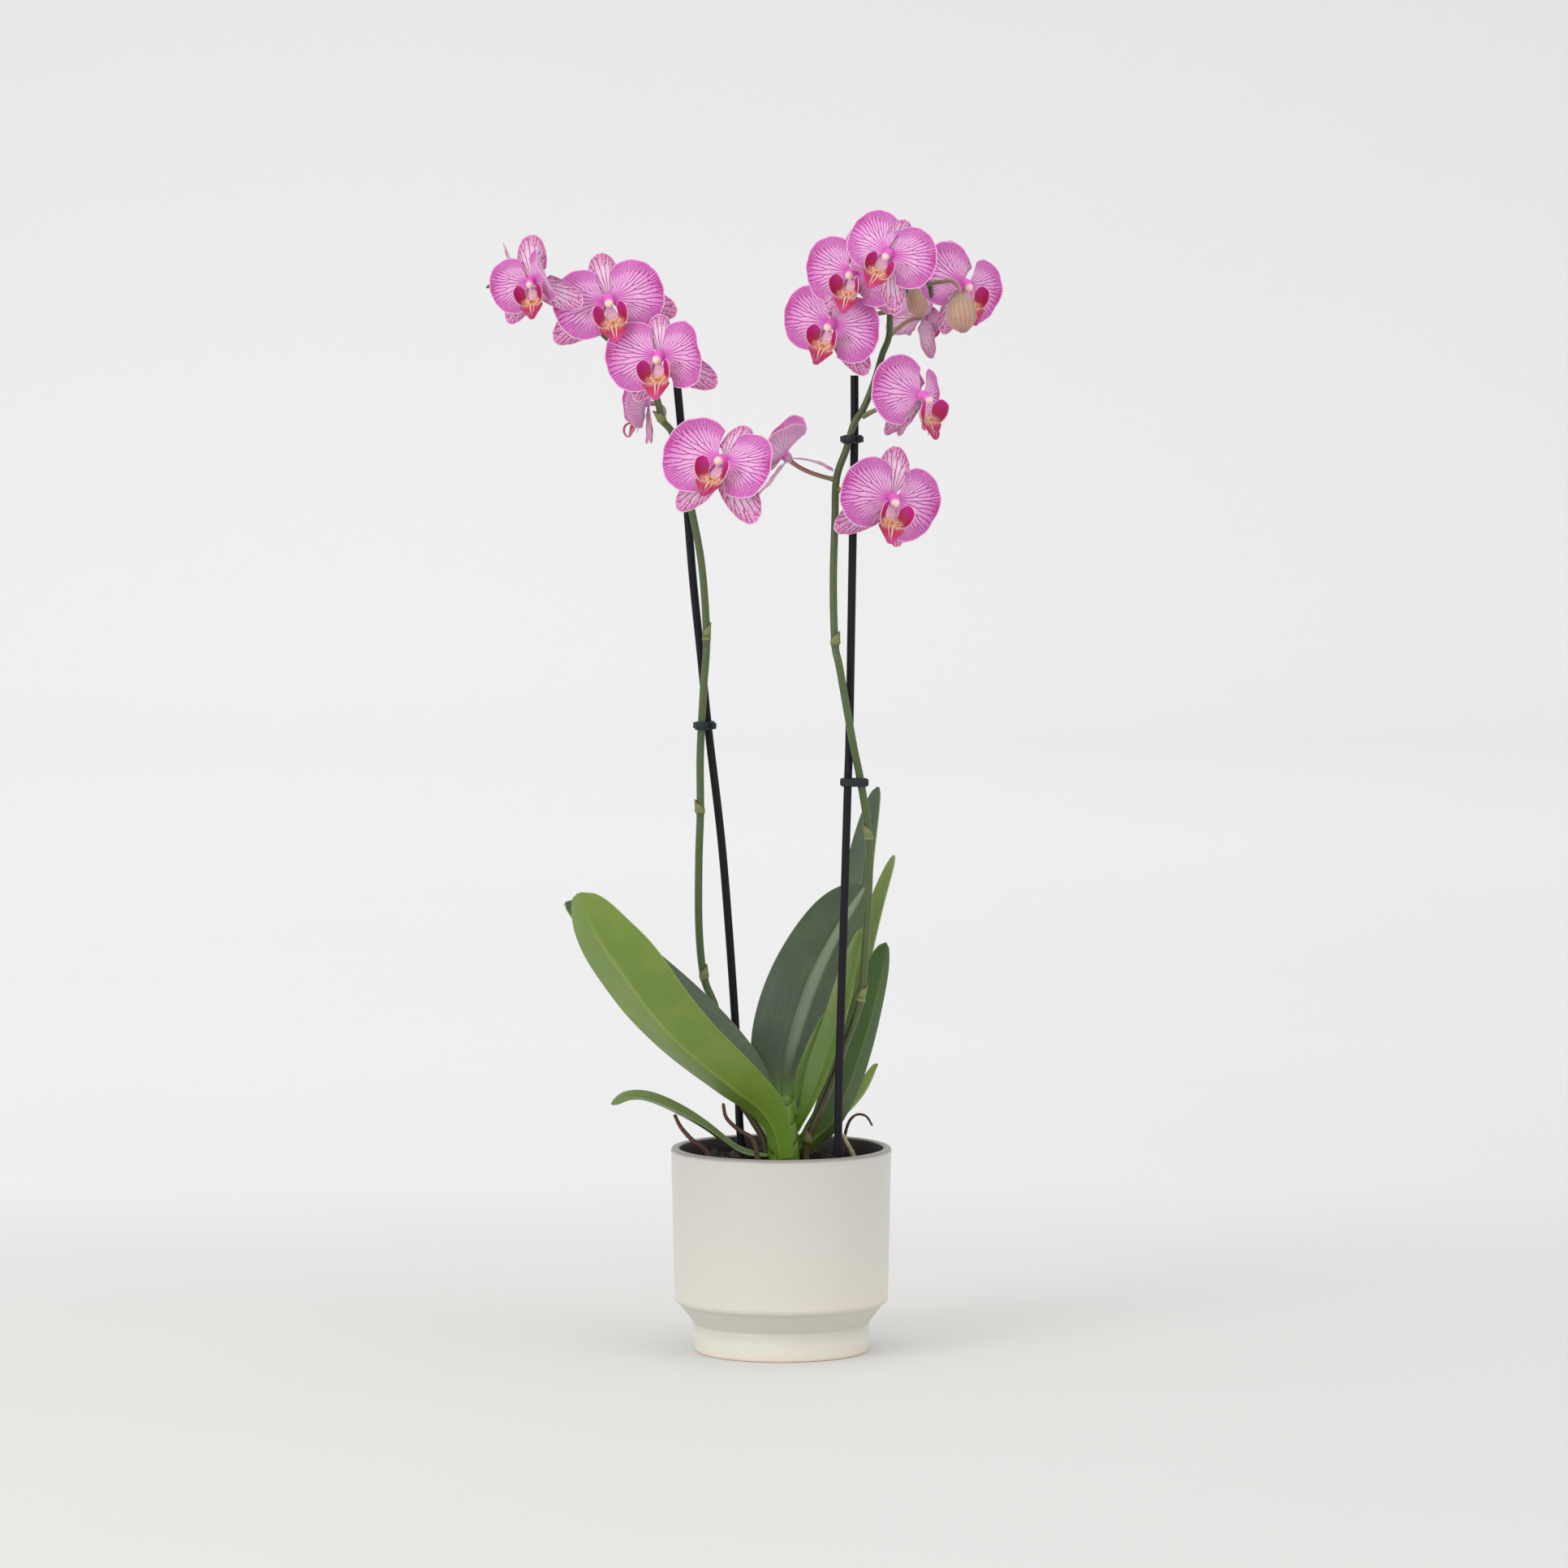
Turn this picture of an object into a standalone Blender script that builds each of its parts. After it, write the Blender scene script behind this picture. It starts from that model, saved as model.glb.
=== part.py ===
"""Potted moth orchid: two flower spikes on stakes, leaves, bark and a glazed pot.

Metres, +Z up. The origin is the centre of the pot's flat underside, and the plant's
front is towards -Y. Point lists are in millimetres, and mm() turns them into metres.
"""

import math
import random

import bpy
import numpy as np
from mathutils import Matrix, Vector

CLEAR = 0.0003  # gap between pieces that touch

# Pot, a turned shell with a rounded lip, a sloped shoulder and a drum foot
POT_HEIGHT = 0.127
POT_RADIUS = 0.0685
POT_WALL = 0.0053
POT_SHOULDER_RADIUS = 0.0662
POT_SHOULDER_Z = 0.033
POT_NECK_RADIUS = 0.0545
POT_NECK_Z = 0.0175
POT_FOOT_RADIUS = 0.0538
POT_FLOOR = 0.007
POT_SIDES = 40

# Nursery pot, the thin plastic liner that holds the bark
LINER_TOP_RADIUS = 0.0600
LINER_TOP_Z = 0.1150
LINER_BASE_RADIUS = 0.0440
LINER_WALL = 0.0012
LINER_RIM = 0.0015  # how far the rim stands out
LINER_RIM_HEIGHT = 0.0035
LINER_SIDES = 28

# Bark that fills the liner
BARK_Z = 0.1160
BARK_RELIEF = 0.0032
BARK_EDGE_DEPTH = 0.004  # how far below the liner's rim the bark meets its wall
BARK_RINGS = 4
BARK_SEED = 11

# Blooms
PETAL_LENGTH = 0.0345
PETAL_BREADTH = 0.0430
SEPAL_LENGTH = 0.0290
SEPAL_BREADTH = 0.0195
LOW_SEPAL_LENGTH = 0.0395
LOW_SEPAL_BREADTH = 0.0195
ORGAN_ROOT = 0.0022  # the petals start this far from the bloom's centre, inside its hub
HUB_BACK = 0.0038  # how far the hub reaches behind that centre
BLADE = 0.0007  # thickness of a petal
LEAF = 0.0017  # thickness of a leaf
STAKE_RADIUS = 0.0025
PEDICEL_RADIUS = 0.0014


def mm(*values):
    return np.array(values, float) / 1000.0


def clear_scene():
    for obj in list(bpy.data.objects):
        bpy.data.objects.remove(obj, do_unlink=True)


def finish_material(name, colour, roughness, metallic=0.0):
    material = bpy.data.materials.new(name)
    material.use_nodes = True
    shader = material.node_tree.nodes["Principled BSDF"]
    shader.inputs["Base Color"].default_value = (*colour, 1.0)
    shader.inputs["Roughness"].default_value = roughness
    shader.inputs["Metallic"].default_value = metallic
    return material


def signed_volume(points, faces):
    total = 0.0
    for face in faces:
        for k in range(1, len(face) - 1):
            a, b, c = points[face[0]], points[face[k]], points[face[k + 1]]
            total += float(np.dot(a, np.cross(b, c)))
    return total


def make_object(name, points, faces, material=None, smooth=True):
    """A mesh object from points and faces, with its faces turned outwards."""
    if signed_volume(points, faces) < 0:
        faces = [tuple(reversed(face)) for face in faces]
    mesh = bpy.data.meshes.new(name)
    mesh.from_pydata([tuple(p) for p in points], [], faces)
    mesh.update()
    if smooth:
        mesh.shade_smooth()
        mesh.set_sharp_from_angle(angle=math.radians(40))
    obj = bpy.data.objects.new(name, mesh)
    bpy.context.scene.collection.objects.link(obj)
    if material:
        mesh.materials.append(material)
    return obj


def apply_modifiers(obj):
    bpy.context.view_layer.update()
    graph = bpy.context.evaluated_depsgraph_get()
    mesh = bpy.data.meshes.new_from_object(obj.evaluated_get(graph))
    old = obj.data
    obj.modifiers.clear()
    obj.data = mesh
    bpy.data.meshes.remove(old)
    mesh.name = obj.name


def boolean_with(obj, others, operation):
    """Joins the other objects to this one, or cuts them from it, then removes them."""
    group = bpy.data.collections.new(obj.name + "_pieces")
    bpy.context.scene.collection.children.link(group)
    for other in others:
        bpy.context.scene.collection.objects.unlink(other)
        group.objects.link(other)
    modifier = obj.modifiers.new("pieces", "BOOLEAN")
    modifier.operation = operation
    modifier.operand_type = "COLLECTION"
    modifier.collection = group
    modifier.solver = "EXACT"
    apply_modifiers(obj)
    for other in others:
        bpy.data.objects.remove(other, do_unlink=True)
    bpy.data.collections.remove(group)


def tube(points, radii, sides):
    """Rings of points round a path, closed by a fan of faces at both ends."""
    points = np.asarray(points, float)
    tangents = np.gradient(points, axis=0)
    tangents /= np.linalg.norm(tangents, axis=1)[:, None]
    side = np.cross(tangents[0], (0.31, 0.87, 0.22))
    verts, faces = [], []
    for point, tangent, radius in zip(points, tangents, radii):
        side = side - np.dot(side, tangent) * tangent
        side /= np.linalg.norm(side)
        other = np.cross(tangent, side)
        for k in range(sides):
            turn = math.tau * k / sides
            verts.append(point + radius * (math.cos(turn) * side + math.sin(turn) * other))
    for ring in range(len(points) - 1):
        for k in range(sides):
            a, b = ring * sides + k, ring * sides + (k + 1) % sides
            faces.append((a, b, b + sides, a + sides))
    last = (len(points) - 1) * sides
    faces.append(tuple(reversed(range(sides))))
    faces.append(tuple(range(last, last + sides)))
    return verts, faces


def strip(first, second):
    """Triangles between two rows of point numbers that may differ in length."""
    i = j = 0
    out = []
    while i < len(first) - 1 or j < len(second) - 1:
        next_i = (i + 1) / max(len(first) - 1, 1)
        next_j = (j + 1) / max(len(second) - 1, 1)
        if j == len(second) - 1 or (i < len(first) - 1 and next_i <= next_j):
            out.append((first[i], first[i + 1], second[j]))
            i += 1
        else:
            out.append((first[i], second[j + 1], second[j]))
            j += 1
    return out


def blade(surface, rows, thickness):
    """A thin closed sheet round surface(s, t), with the same triangles on both faces.

    rows lists (t, number of points across); s runs from 0 to 1 across the sheet.
    """
    step = 1e-3
    upper, lower, numbers = [], [], []
    for t, count in rows:
        row = []
        for k in range(count):
            s = k / (count - 1)
            s_near, t_near = min(max(s, step), 1 - step), min(max(t, step), 1 - step)
            across = surface(s_near + step, t_near) - surface(s_near - step, t_near)
            along = surface(s_near, t_near + step) - surface(s_near, t_near - step)
            normal = np.cross(along, across)
            normal *= thickness / 2 / np.linalg.norm(normal)
            point = surface(s, t)
            row.append(len(upper))
            upper.append(point + normal)
            lower.append(point - normal)
        numbers.append(row)
    under = len(upper)
    faces = []
    for first, second in zip(numbers, numbers[1:]):
        for x, y, z in strip(first, second):
            faces += [(x, y, z), (under + x, under + z, under + y)]
    rim = list(numbers[0]) + [row[-1] for row in numbers[1:-1]] + list(reversed(numbers[-1]))
    rim += [row[0] for row in reversed(numbers[1:-1])]
    for x, y in zip(rim, rim[1:] + rim[:1]):
        faces += [(x, under + x, under + y), (x, under + y, y)]
    return upper + lower, faces


def lathe(profile, sides):
    """Turns an outline of (radius, height) pairs round Z; a zero radius closes it."""
    points, rings = [], []
    for radius, height in profile:
        if radius == 0:
            rings.append([len(points)])
            points.append(np.array((0.0, 0.0, height)))
            continue
        rings.append(list(range(len(points), len(points) + sides)))
        for k in range(sides):
            turn = math.tau * k / sides
            points.append(np.array((radius * math.cos(turn), radius * math.sin(turn), height)))
    faces = []
    for lower, upper in zip(rings, rings[1:]):
        for k in range(sides):
            n = (k + 1) % sides
            if len(lower) == 1:
                faces.append((lower[0], upper[n], upper[k]))
            elif len(upper) == 1:
                faces.append((lower[k], lower[n], upper[0]))
            else:
                faces.append((lower[k], lower[n], upper[n], upper[k]))
    return points, faces


def pot():
    """The glazed ceramic outer pot."""
    inner = POT_RADIUS - POT_WALL
    lip = POT_WALL / 2
    profile = [
        (0, 0),
        (POT_FOOT_RADIUS - 0.0012, 0),
        (POT_FOOT_RADIUS, 0.0012),
        (POT_NECK_RADIUS, POT_NECK_Z),
        (POT_SHOULDER_RADIUS - 0.0012, POT_SHOULDER_Z - 0.0018),
        (POT_SHOULDER_RADIUS, POT_SHOULDER_Z),
        (POT_RADIUS, POT_HEIGHT - 0.0016),
        (POT_RADIUS - 0.0010, POT_HEIGHT - 0.0003),
        (POT_RADIUS - lip, POT_HEIGHT),
        (inner + 0.0010, POT_HEIGHT - 0.0003),
        (inner, POT_HEIGHT - 0.0016),
        (POT_SHOULDER_RADIUS - POT_WALL, POT_SHOULDER_Z),
        (POT_NECK_RADIUS - POT_WALL, POT_NECK_Z),
        (POT_FOOT_RADIUS - POT_WALL, POT_FLOOR),
        (0, POT_FLOOR),
    ]
    points, faces = lathe(profile, POT_SIDES)
    glaze = finish_material("glaze", (0.70, 0.67, 0.61), 0.42)
    return make_object("pot", points, faces, glaze)


def nursery_pot():
    """The plastic liner, standing on the floor of the outer pot."""
    base = POT_FLOOR + CLEAR
    profile = [
        (0, base),
        (LINER_BASE_RADIUS, base),
        (LINER_TOP_RADIUS - LINER_RIM, LINER_TOP_Z - LINER_RIM_HEIGHT - LINER_RIM / 3),
        (LINER_TOP_RADIUS, LINER_TOP_Z - LINER_RIM_HEIGHT),
        (LINER_TOP_RADIUS, LINER_TOP_Z),
        (LINER_TOP_RADIUS - LINER_RIM - LINER_WALL, LINER_TOP_Z),
        (LINER_BASE_RADIUS - LINER_WALL, base + LINER_WALL),
        (0, base + LINER_WALL),
    ]
    points, faces = lathe(profile, LINER_SIDES)
    plastic = finish_material("nursery_plastic", (0.05, 0.05, 0.05), 0.5)
    return make_object("nursery_pot", points, faces, plastic)


def bark(holes):
    """The filling of the liner, rough on top, with a plain hole for all that stands in it."""
    base = POT_FLOOR + CLEAR + LINER_WALL + CLEAR
    base_radius = LINER_BASE_RADIUS - LINER_WALL - 2 * CLEAR
    radius = LINER_TOP_RADIUS - LINER_RIM - LINER_WALL - 2 * CLEAR
    slope = (radius - base_radius) / (LINER_TOP_Z - base)
    draw = random.Random(BARK_SEED)
    edge = LINER_TOP_Z - BARK_EDGE_DEPTH
    profile = [(0, base), (base_radius, base), (radius - slope * BARK_EDGE_DEPTH, edge)]
    for ring in range(1, BARK_RINGS):
        profile.append((radius * (1 - ring / BARK_RINGS), BARK_Z))
    profile.append((0, BARK_Z))
    points, faces = lathe(profile, LINER_SIDES)
    for point in points:
        if point[2] == BARK_Z:
            point[2] += draw.uniform(-BARK_RELIEF, BARK_RELIEF)
    obj = make_object("bark", points, faces, finish_material("bark", (0.06, 0.04, 0.03), 0.9))
    boolean_with(obj, holes, "DIFFERENCE")
    return obj


def fan_point(s, t, length, breadth, low, high, claw, pinch):
    """A point of a flat petal along +X: t runs from claw to margin, s fans out across it."""
    centre = 0.46 * length
    turn = math.radians(-low + (low + high) * s)
    edge = (centre + (length - centre) * math.cos(turn), breadth / 2 * math.sin(turn))
    root = (ORGAN_ROOT, (s - 0.5) * claw)
    middle = (0.5 * edge[0] + 0.08 * length, pinch * edge[1])
    shares = ((1 - t) ** 2, 2 * t * (1 - t), t * t)
    return tuple(shares[0] * r + shares[1] * m + shares[2] * e
                 for r, m, e in zip(root, middle, edge))


def bent(x, y, s, t, length, form):
    """Leans a flat petal back by its sweep, curls it forward, cups it and waves its margin."""
    start = -math.radians(form["sweep"])
    rate = math.radians(form["curl"]) / length
    wave = form["wave"] * t**3 * math.sin(form["phase"] + 11.0 * s)
    lift = form["cup"] * y * y / length + wave
    turn = start + rate * x
    along = (math.sin(turn) - math.sin(start)) / rate
    rise = (math.cos(start) - math.cos(turn)) / rate
    return along - lift * math.sin(turn), y, rise + lift * math.cos(turn)


# Each organ of a bloom: angle in its plane, sweep back, curl forward, cup, wave and phase
ORGANS = {
    "dorsal": dict(angle=90, sweep=7, curl=6, cup=0.10, wave=0.0006, phase=0.4, size=1.0),
    "left": dict(angle=180, sweep=4, curl=8, cup=-0.10, wave=0.0011, phase=0.0, size=1.0),
    "right": dict(angle=0, sweep=4, curl=8, cup=-0.10, wave=0.0011, phase=1.3, size=1.0),
    "low_left": dict(angle=216, sweep=12, curl=4, cup=0.10, wave=0.0006, phase=2.0, size=1.0),
    "low_right": dict(angle=-36, sweep=12, curl=4, cup=0.10, wave=0.0006, phase=3.1, size=1.0),
}


# Outline of each kind of organ: length, breadth, how far round its margin runs below and
# above its axis in degrees, claw width, how narrow it starts, and height over the hub's centre
PETAL = (PETAL_LENGTH, PETAL_BREADTH, 112, 128, 0.0034, 0.38, 0.0008)
DORSAL = (SEPAL_LENGTH, SEPAL_BREADTH, 112, 112, 0.0032, 0.62, -0.0016)
LOW_SEPAL = (LOW_SEPAL_LENGTH, LOW_SEPAL_BREADTH, 112, 112, 0.0032, 0.62, -0.0016)
OUTLINES = {"dorsal": DORSAL, "left": PETAL, "right": PETAL, "low_left": LOW_SEPAL,
            "low_right": LOW_SEPAL}


def organ_surface(name, form):
    """The curved sheet of one petal or sepal in its bloom's own frame, as a function."""
    length, breadth, low, high, claw, pinch, rise = OUTLINES[name]
    length, breadth = length * form["size"], breadth * form["size"]
    turn = math.radians(form["angle"])
    side = -1 if name in ("left", "low_left") else 1

    def surface(s, t):
        x, y = fan_point(s, t, length, breadth, low, high, claw, pinch)
        x, y, z = bent(x, y, s, t, length, form)
        y *= side
        return np.array((x * math.cos(turn) - y * math.sin(turn),
                         x * math.sin(turn) + y * math.cos(turn), z + rise))

    return surface


def column_tube():
    """The hub where all petals meet, with the column and its cap in front."""
    path = [(0, 0, -HUB_BACK), *mm((0, 0, -2.4), (0, 0.2, 1.3), (0, -1.9, 4.5), (0, -4.1, 7.6))]
    return tube(path, mm(1.5, 3.2, 3.5, 3.0, 2.1), 6)


def curve_point(path, t):
    """A point on the smooth curve through the points of a path, t from 0 to 1."""
    ends = np.vstack([2 * path[0] - path[1], path, 2 * path[-1] - path[-2]])
    k = min(int(t * (len(path) - 1)), len(path) - 2)
    u = t * (len(path) - 1) - k
    a, b, c, d = ends[k : k + 4]
    return 0.5 * (2 * b + (c - a) * u + (2 * a - 5 * b + 4 * c - d) * u**2
                  + (3 * b - a - 3 * c + d) * u**3)


def between(values, t):
    return float(np.interp(t * (len(values) - 1), range(len(values)), values))


LIP_PATH = mm((0, -4.4, 1.6), (0, -10.5, 2.2), (0, -14.4, 4.0), (0, -18.2, 6.8), (0, -26.6, 11.0))
LIP_WIDTHS = mm(1.6, 4.4, 4.6, 9.2, 1.4)
LIP_DROOP = (0.0, -0.2, -0.3, 0.28, 0.1)
CALLUS_AT, CALLUS_RISE = 0.5, 0.0020
LOBE_PATH = mm((2.4, -15.4, 4.8), (5.8, -14.2, 5.6), (8.2, -10.8, 6.8), (8.6, -6.4, 8.0), (7.6, -2.0, 9.0))
LOBE_WIDTHS = mm(1.6, 4.0, 5.2, 5.4, 3.6)
LOBE_FACING = np.array((-0.74, 0.12, 0.66))
LOBE_CUP = 0.3


def lip_plate(s, t):
    """The lip's middle: a claw, the callus and the arrowhead mid-lobe."""
    point = curve_point(LIP_PATH, t)
    span = 2 * s - 1
    width = between(LIP_WIDTHS, t)
    ahead = curve_point(LIP_PATH, min(t + 0.01, 1)) - curve_point(LIP_PATH, max(t - 0.01, 0))
    front = np.cross((1, 0, 0), ahead / np.linalg.norm(ahead))
    callus = CALLUS_RISE * max(0, 1 - abs(t - CALLUS_AT) / 0.15) * max(0, 1 - 2 * abs(span))
    point = point + (span * width, 0, 0)
    return point + front * (-between(LIP_DROOP, t) * width * span**2 + callus)


def lip_lobe(s, t):
    """The right side lobe, an upright ear beside the column."""
    span = 2 * s - 1
    ahead = curve_point(LOBE_PATH, min(t + 0.01, 1)) - curve_point(LOBE_PATH, max(t - 0.01, 0))
    across = np.cross(ahead, LOBE_FACING)
    across /= np.linalg.norm(across)
    width = between(LOBE_WIDTHS, t)
    return curve_point(LOBE_PATH, t) + across * span * width + LOBE_FACING * LOBE_CUP * width * span**2


def mirrored(points):
    return [np.asarray(p) * (-1, 1, 1) for p in points]


def tendril_path(reach, steps):
    """A filament from the lip's tip that curls forward and up."""
    out = []
    for k in range(steps + 1):
        t = k / steps
        turn = math.radians(-70 + 280 * t)
        ring = 0.0034 * reach * (1 - 0.4 * t)
        out.append((0.0004 + 0.0030 * t * reach, -0.0266 + ring * math.sin(turn) + 0.0032 * reach,
                    0.0100 + ring * math.cos(turn)))
    return np.array(out)


def lip_pieces(reach):
    """Point and face lists of the lip: its plate with the callus, two side lobes, tendrils."""
    pieces = [blade(lip_plate, [(0, 2), (0.25, 2), (0.5, 3), (0.75, 5), (1, 2)], BLADE * 1.3)]
    points, faces = blade(lip_lobe, [(0, 2), (0.3, 3), (0.55, 3), (0.8, 3), (1, 2)], BLADE * 1.2)
    pieces += [(points, faces), (mirrored(points), faces)]
    if reach:
        strand = tendril_path(reach, 4)
        points, faces = tube(strand, np.linspace(0.00055, 0.0004, len(strand)), 3)
        pieces += [(points, faces), (mirrored(points), faces)]
    return pieces


def bloom_matrix(place, yaw, pitch, roll, size):
    """The bloom's frame: X to its right, Y up, Z out of its face."""
    yaw, pitch, roll = math.radians(yaw), math.radians(pitch), math.radians(roll)
    face = Vector((math.sin(yaw) * math.cos(pitch), -math.cos(yaw) * math.cos(pitch), math.sin(pitch)))
    right = Vector((math.cos(yaw), math.sin(yaw), 0))
    up = face.cross(right)
    frame = Matrix((right, up, face)).transposed().to_4x4()
    matrix = Matrix.Translation(Vector(mm(*place))) @ frame
    return matrix @ Matrix.Rotation(roll, 4, "Z") @ Matrix.Scale(size, 4)


def placed(points, matrix):
    return [np.array(matrix @ Vector(p)) for p in points]


# Each bloom: place of its centre in mm, yaw, pitch and roll in degrees, size, the point of the
# spike that its stalk grows from, and what differs from a plain bloom. Yaw 0 faces -Y, and a
# reach gives the lip its two tendrils.
BLOOMS = [
    ("bloom_l1", (-152, -44, 663), -16, 0, 8, 0.86, (-140, -20, 655), dict(
        right=dict(curl=96, sweep=-8, angle=14, size=0.92), left=dict(angle=186, size=0.92),
        low_right=dict(angle=-31, sweep=0, size=1.05), low_left=dict(angle=228, size=0.92),
        dorsal=dict(angle=84, size=1.15), reach=0.8)),
    ("bloom_l2", (-164, 5, 665), -95, -12, 0, 0.92, (-145, -20, 656), dict(
        dorsal=dict(sweep=-8, size=0.85), left=dict(sweep=8, size=0.6), right=dict(sweep=8, size=0.6),
        low_right=dict(size=0.6))),
    ("bloom_l3", (-105, -46, 652), -3, 0, 12, 1.0, (-108, -18, 629), dict(
        low_right=dict(angle=-22, size=1.08), low_left=dict(angle=205, size=1.1))),
    ("bloom_l4", (-74, -55, 618), -20, 0, 3, 1.0, (-83, -17, 606), dict(
        dorsal=dict(size=0.88), left=dict(curl=20), right=dict(curl=44, size=0.96),
        low_right=dict(angle=-30), low_left=dict(angle=232, size=0.85))),
    ("bloom_l5", (-83, -3, 588), -75, 5, 0, 0.82, (-73, -15, 578), dict(
        right=dict(sweep=-5, curl=84, angle=-6, size=0.85), left=dict(sweep=-20, angle=176, size=0.85),
        dorsal=dict(sweep=10, size=0.9),
        low_right=dict(angle=-75, size=0.8, sweep=2), low_left=dict(angle=255, size=0.8, sweep=14),
        reach=1.8)),
    ("bloom_l6", (-36, -46, 554), -18, 22, -12, 1.04, (-61, -14, 552), dict(
        dorsal=dict(angle=72, size=0.9), left=dict(size=1.1), right=dict(curl=20, size=0.96),
        low_left=dict(angle=238), low_right=dict(angle=-46, size=1.08), reach=1.0)),
    ("bloom_r1", (3, -10, 555), -95, 42, 0, 0.95, (34, -14, 541), dict(
        dorsal=dict(sweep=43, curl=-40, size=1.08), left=dict(angle=172, sweep=-26, size=1.08),
        right=dict(sweep=-15, size=1.15),
        low_left=dict(angle=246, sweep=4, size=0.95), low_right=dict(angle=-66, sweep=4, size=0.95))),
    ("bloom_r2", (68, -46, 531), 22, -4, -12, 1.02, (34, -14, 535), dict(
        dorsal=dict(angle=97, size=1.08), left=dict(angle=177), right=dict(angle=-7, sweep=20, size=1.06),
        low_left=dict(angle=222), low_right=dict(angle=-64, size=0.8))),
    ("bloom_r3", (86, -36, 593), 48, 0, 0, 0.98, (50, -14, 580), dict(
        left=dict(sweep=26, angle=163, size=1.04), right=dict(sweep=28, angle=-12, size=0.92),
        dorsal=dict(sweep=34, angle=96), low_left=dict(sweep=34, angle=240, size=0.82),
        low_right=dict(sweep=44, angle=-72, size=0.9), reach=1.0)),
    ("bloom_r4", (31, -30, 637), -24, 0, -15, 0.95, (67, -16, 645), dict(
        low_left=dict(angle=225, size=0.72), low_right=dict(angle=-42), reach=1.0)),
    ("bloom_r5", (44, -46, 669), -28, 0, -5, 0.95, (68, -16, 650), dict(
        low_left=dict(angle=236, sweep=-2, size=0.8))),
    ("bloom_r6", (65, -72, 680), -12, 0, -28, 0.88, (78, -18, 658), dict(
        dorsal=dict(size=0.9), left=dict(sweep=20, angle=166), right=dict(angle=17),
        low_left=dict(size=0.75, angle=225), low_right=dict(angle=-58),
        via=((80, -40, 668), (80, -58, 678)))),
    ("bloom_r7", (113, 4, 661), 27, 0, 4, 0.95, (71, -17, 653), dict(
        via=((82, -3, 656), (97, 7, 660)),
        dorsal=dict(sweep=20, angle=102, size=1.05), left=dict(angle=150, sweep=10),
        right=dict(angle=-26, sweep=22), low_left=dict(angle=250, sweep=20, size=0.9),
        low_right=dict(angle=-54, sweep=36, size=0.9), reach=0.8)),
    ("bloom_r8", (88, 28, 640), 132, 0, 22, 0.74, (66, -15, 629), dict(left=dict(size=0.6))),
]


PETAL_ROWS = [(0, 2), (0.55, 5), (1, 9)]
SEPAL_ROWS = [(0, 2), (0.55, 3), (1, 6)]


def bloom(name, place, yaw, pitch, roll, size, node, tweaks):
    """Two nodes: the five petals and sepals with the column, and the lip."""
    matrix = bloom_matrix(place, yaw, pitch, roll, size)
    points, faces = column_tube()
    petals = make_object(name + "_petals", placed(points, matrix), faces, MATERIALS["petal"])
    pieces = []
    for organ, defaults in ORGANS.items():
        form = {**defaults, **tweaks.get(organ, {})}
        rows = PETAL_ROWS if organ in ("left", "right") else SEPAL_ROWS
        points, faces = blade(organ_surface(organ, form), rows, BLADE)
        pieces.append(make_object(name + "_" + organ, placed(points, matrix), faces))
    boolean_with(petals, pieces, "UNION")
    parts = lip_pieces(tweaks.get("reach", 0))
    points, faces = parts[0]
    lip = make_object(name + "_lip", placed(points, matrix), faces, MATERIALS["lip"])
    pieces = [make_object(f"{name}_lip_piece", placed(p, matrix), f) for p, f in parts[1:]]
    boolean_with(lip, pieces, "UNION")


LEFT_SPIKE = mm(
    (-8, 4, 104), (-10, 6, 128), (-18, 9, 143), (-25, 10, 155), (-33, 10, 183), (-41, 9, 213),
    (-48, 8, 232), (-51, 5, 263), (-51, 2, 305), (-50, 0, 336), (-50, -3, 372), (-48, -6, 411),
    (-46, -9, 444), (-49, -11, 489), (-56, -13, 527), (-61, -14, 552), (-67, -14, 570),
    (-73, -15, 578), (-76, -16, 590), (-82, -17, 605), (-93, -18, 618), (-103, -18, 625),
    (-125, -20, 644), (-145, -20, 656), (-171, -19, 661), (-181, -18, 659),
)
RIGHT_SPIKE = mm(
    (14.5, -7, 104), (15, -7, 119), (16.5, -7, 132), (29, -8, 163), (40, -9, 193), (49, -10, 220),
    (52, -11, 256), (54, -13, 291), (54, -15, 321), (49, -17.4, 355), (44, -22.5, 380),
    (36, -22.5, 425), (33, -20, 441), (32, -17, 477), (33, -15, 517), (34, -14, 542),
    (40, -14, 560), (44.5, -14, 575), (51, -14, 586), (57, -14, 601), (62, -15, 618), (66, -15, 629),
    (67, -16, 646), (71, -17, 653), (78, -18, 658), (87, -20, 663), (91, -21, 660), (92, -22, 652),
)


SPIKE_NODES = {"spike_left": (3, 6, 9, 12, 17), "spike_right": (2, 5, 8, 12)}
SPIKE_RADIUS, SPIKE_TIP_RADIUS, NODE_SWELL = 0.0024, 0.0015, 1.3


def spike_radii(name, count):
    """Stem radius from base to tip, with a swelling at each node."""
    radii = []
    for k in range(count):
        radius = SPIKE_RADIUS - (SPIKE_RADIUS - SPIKE_TIP_RADIUS) * (k / (count - 1)) ** 3
        radii.append(radius * (NODE_SWELL if k in SPIKE_NODES[name] else 1))
    return radii


STALK_REACH = 0.011  # how far behind a bloom its stalk bends into line with it
STALK_END = 0.004  # the straight end of a stalk that is led past other pieces


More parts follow.
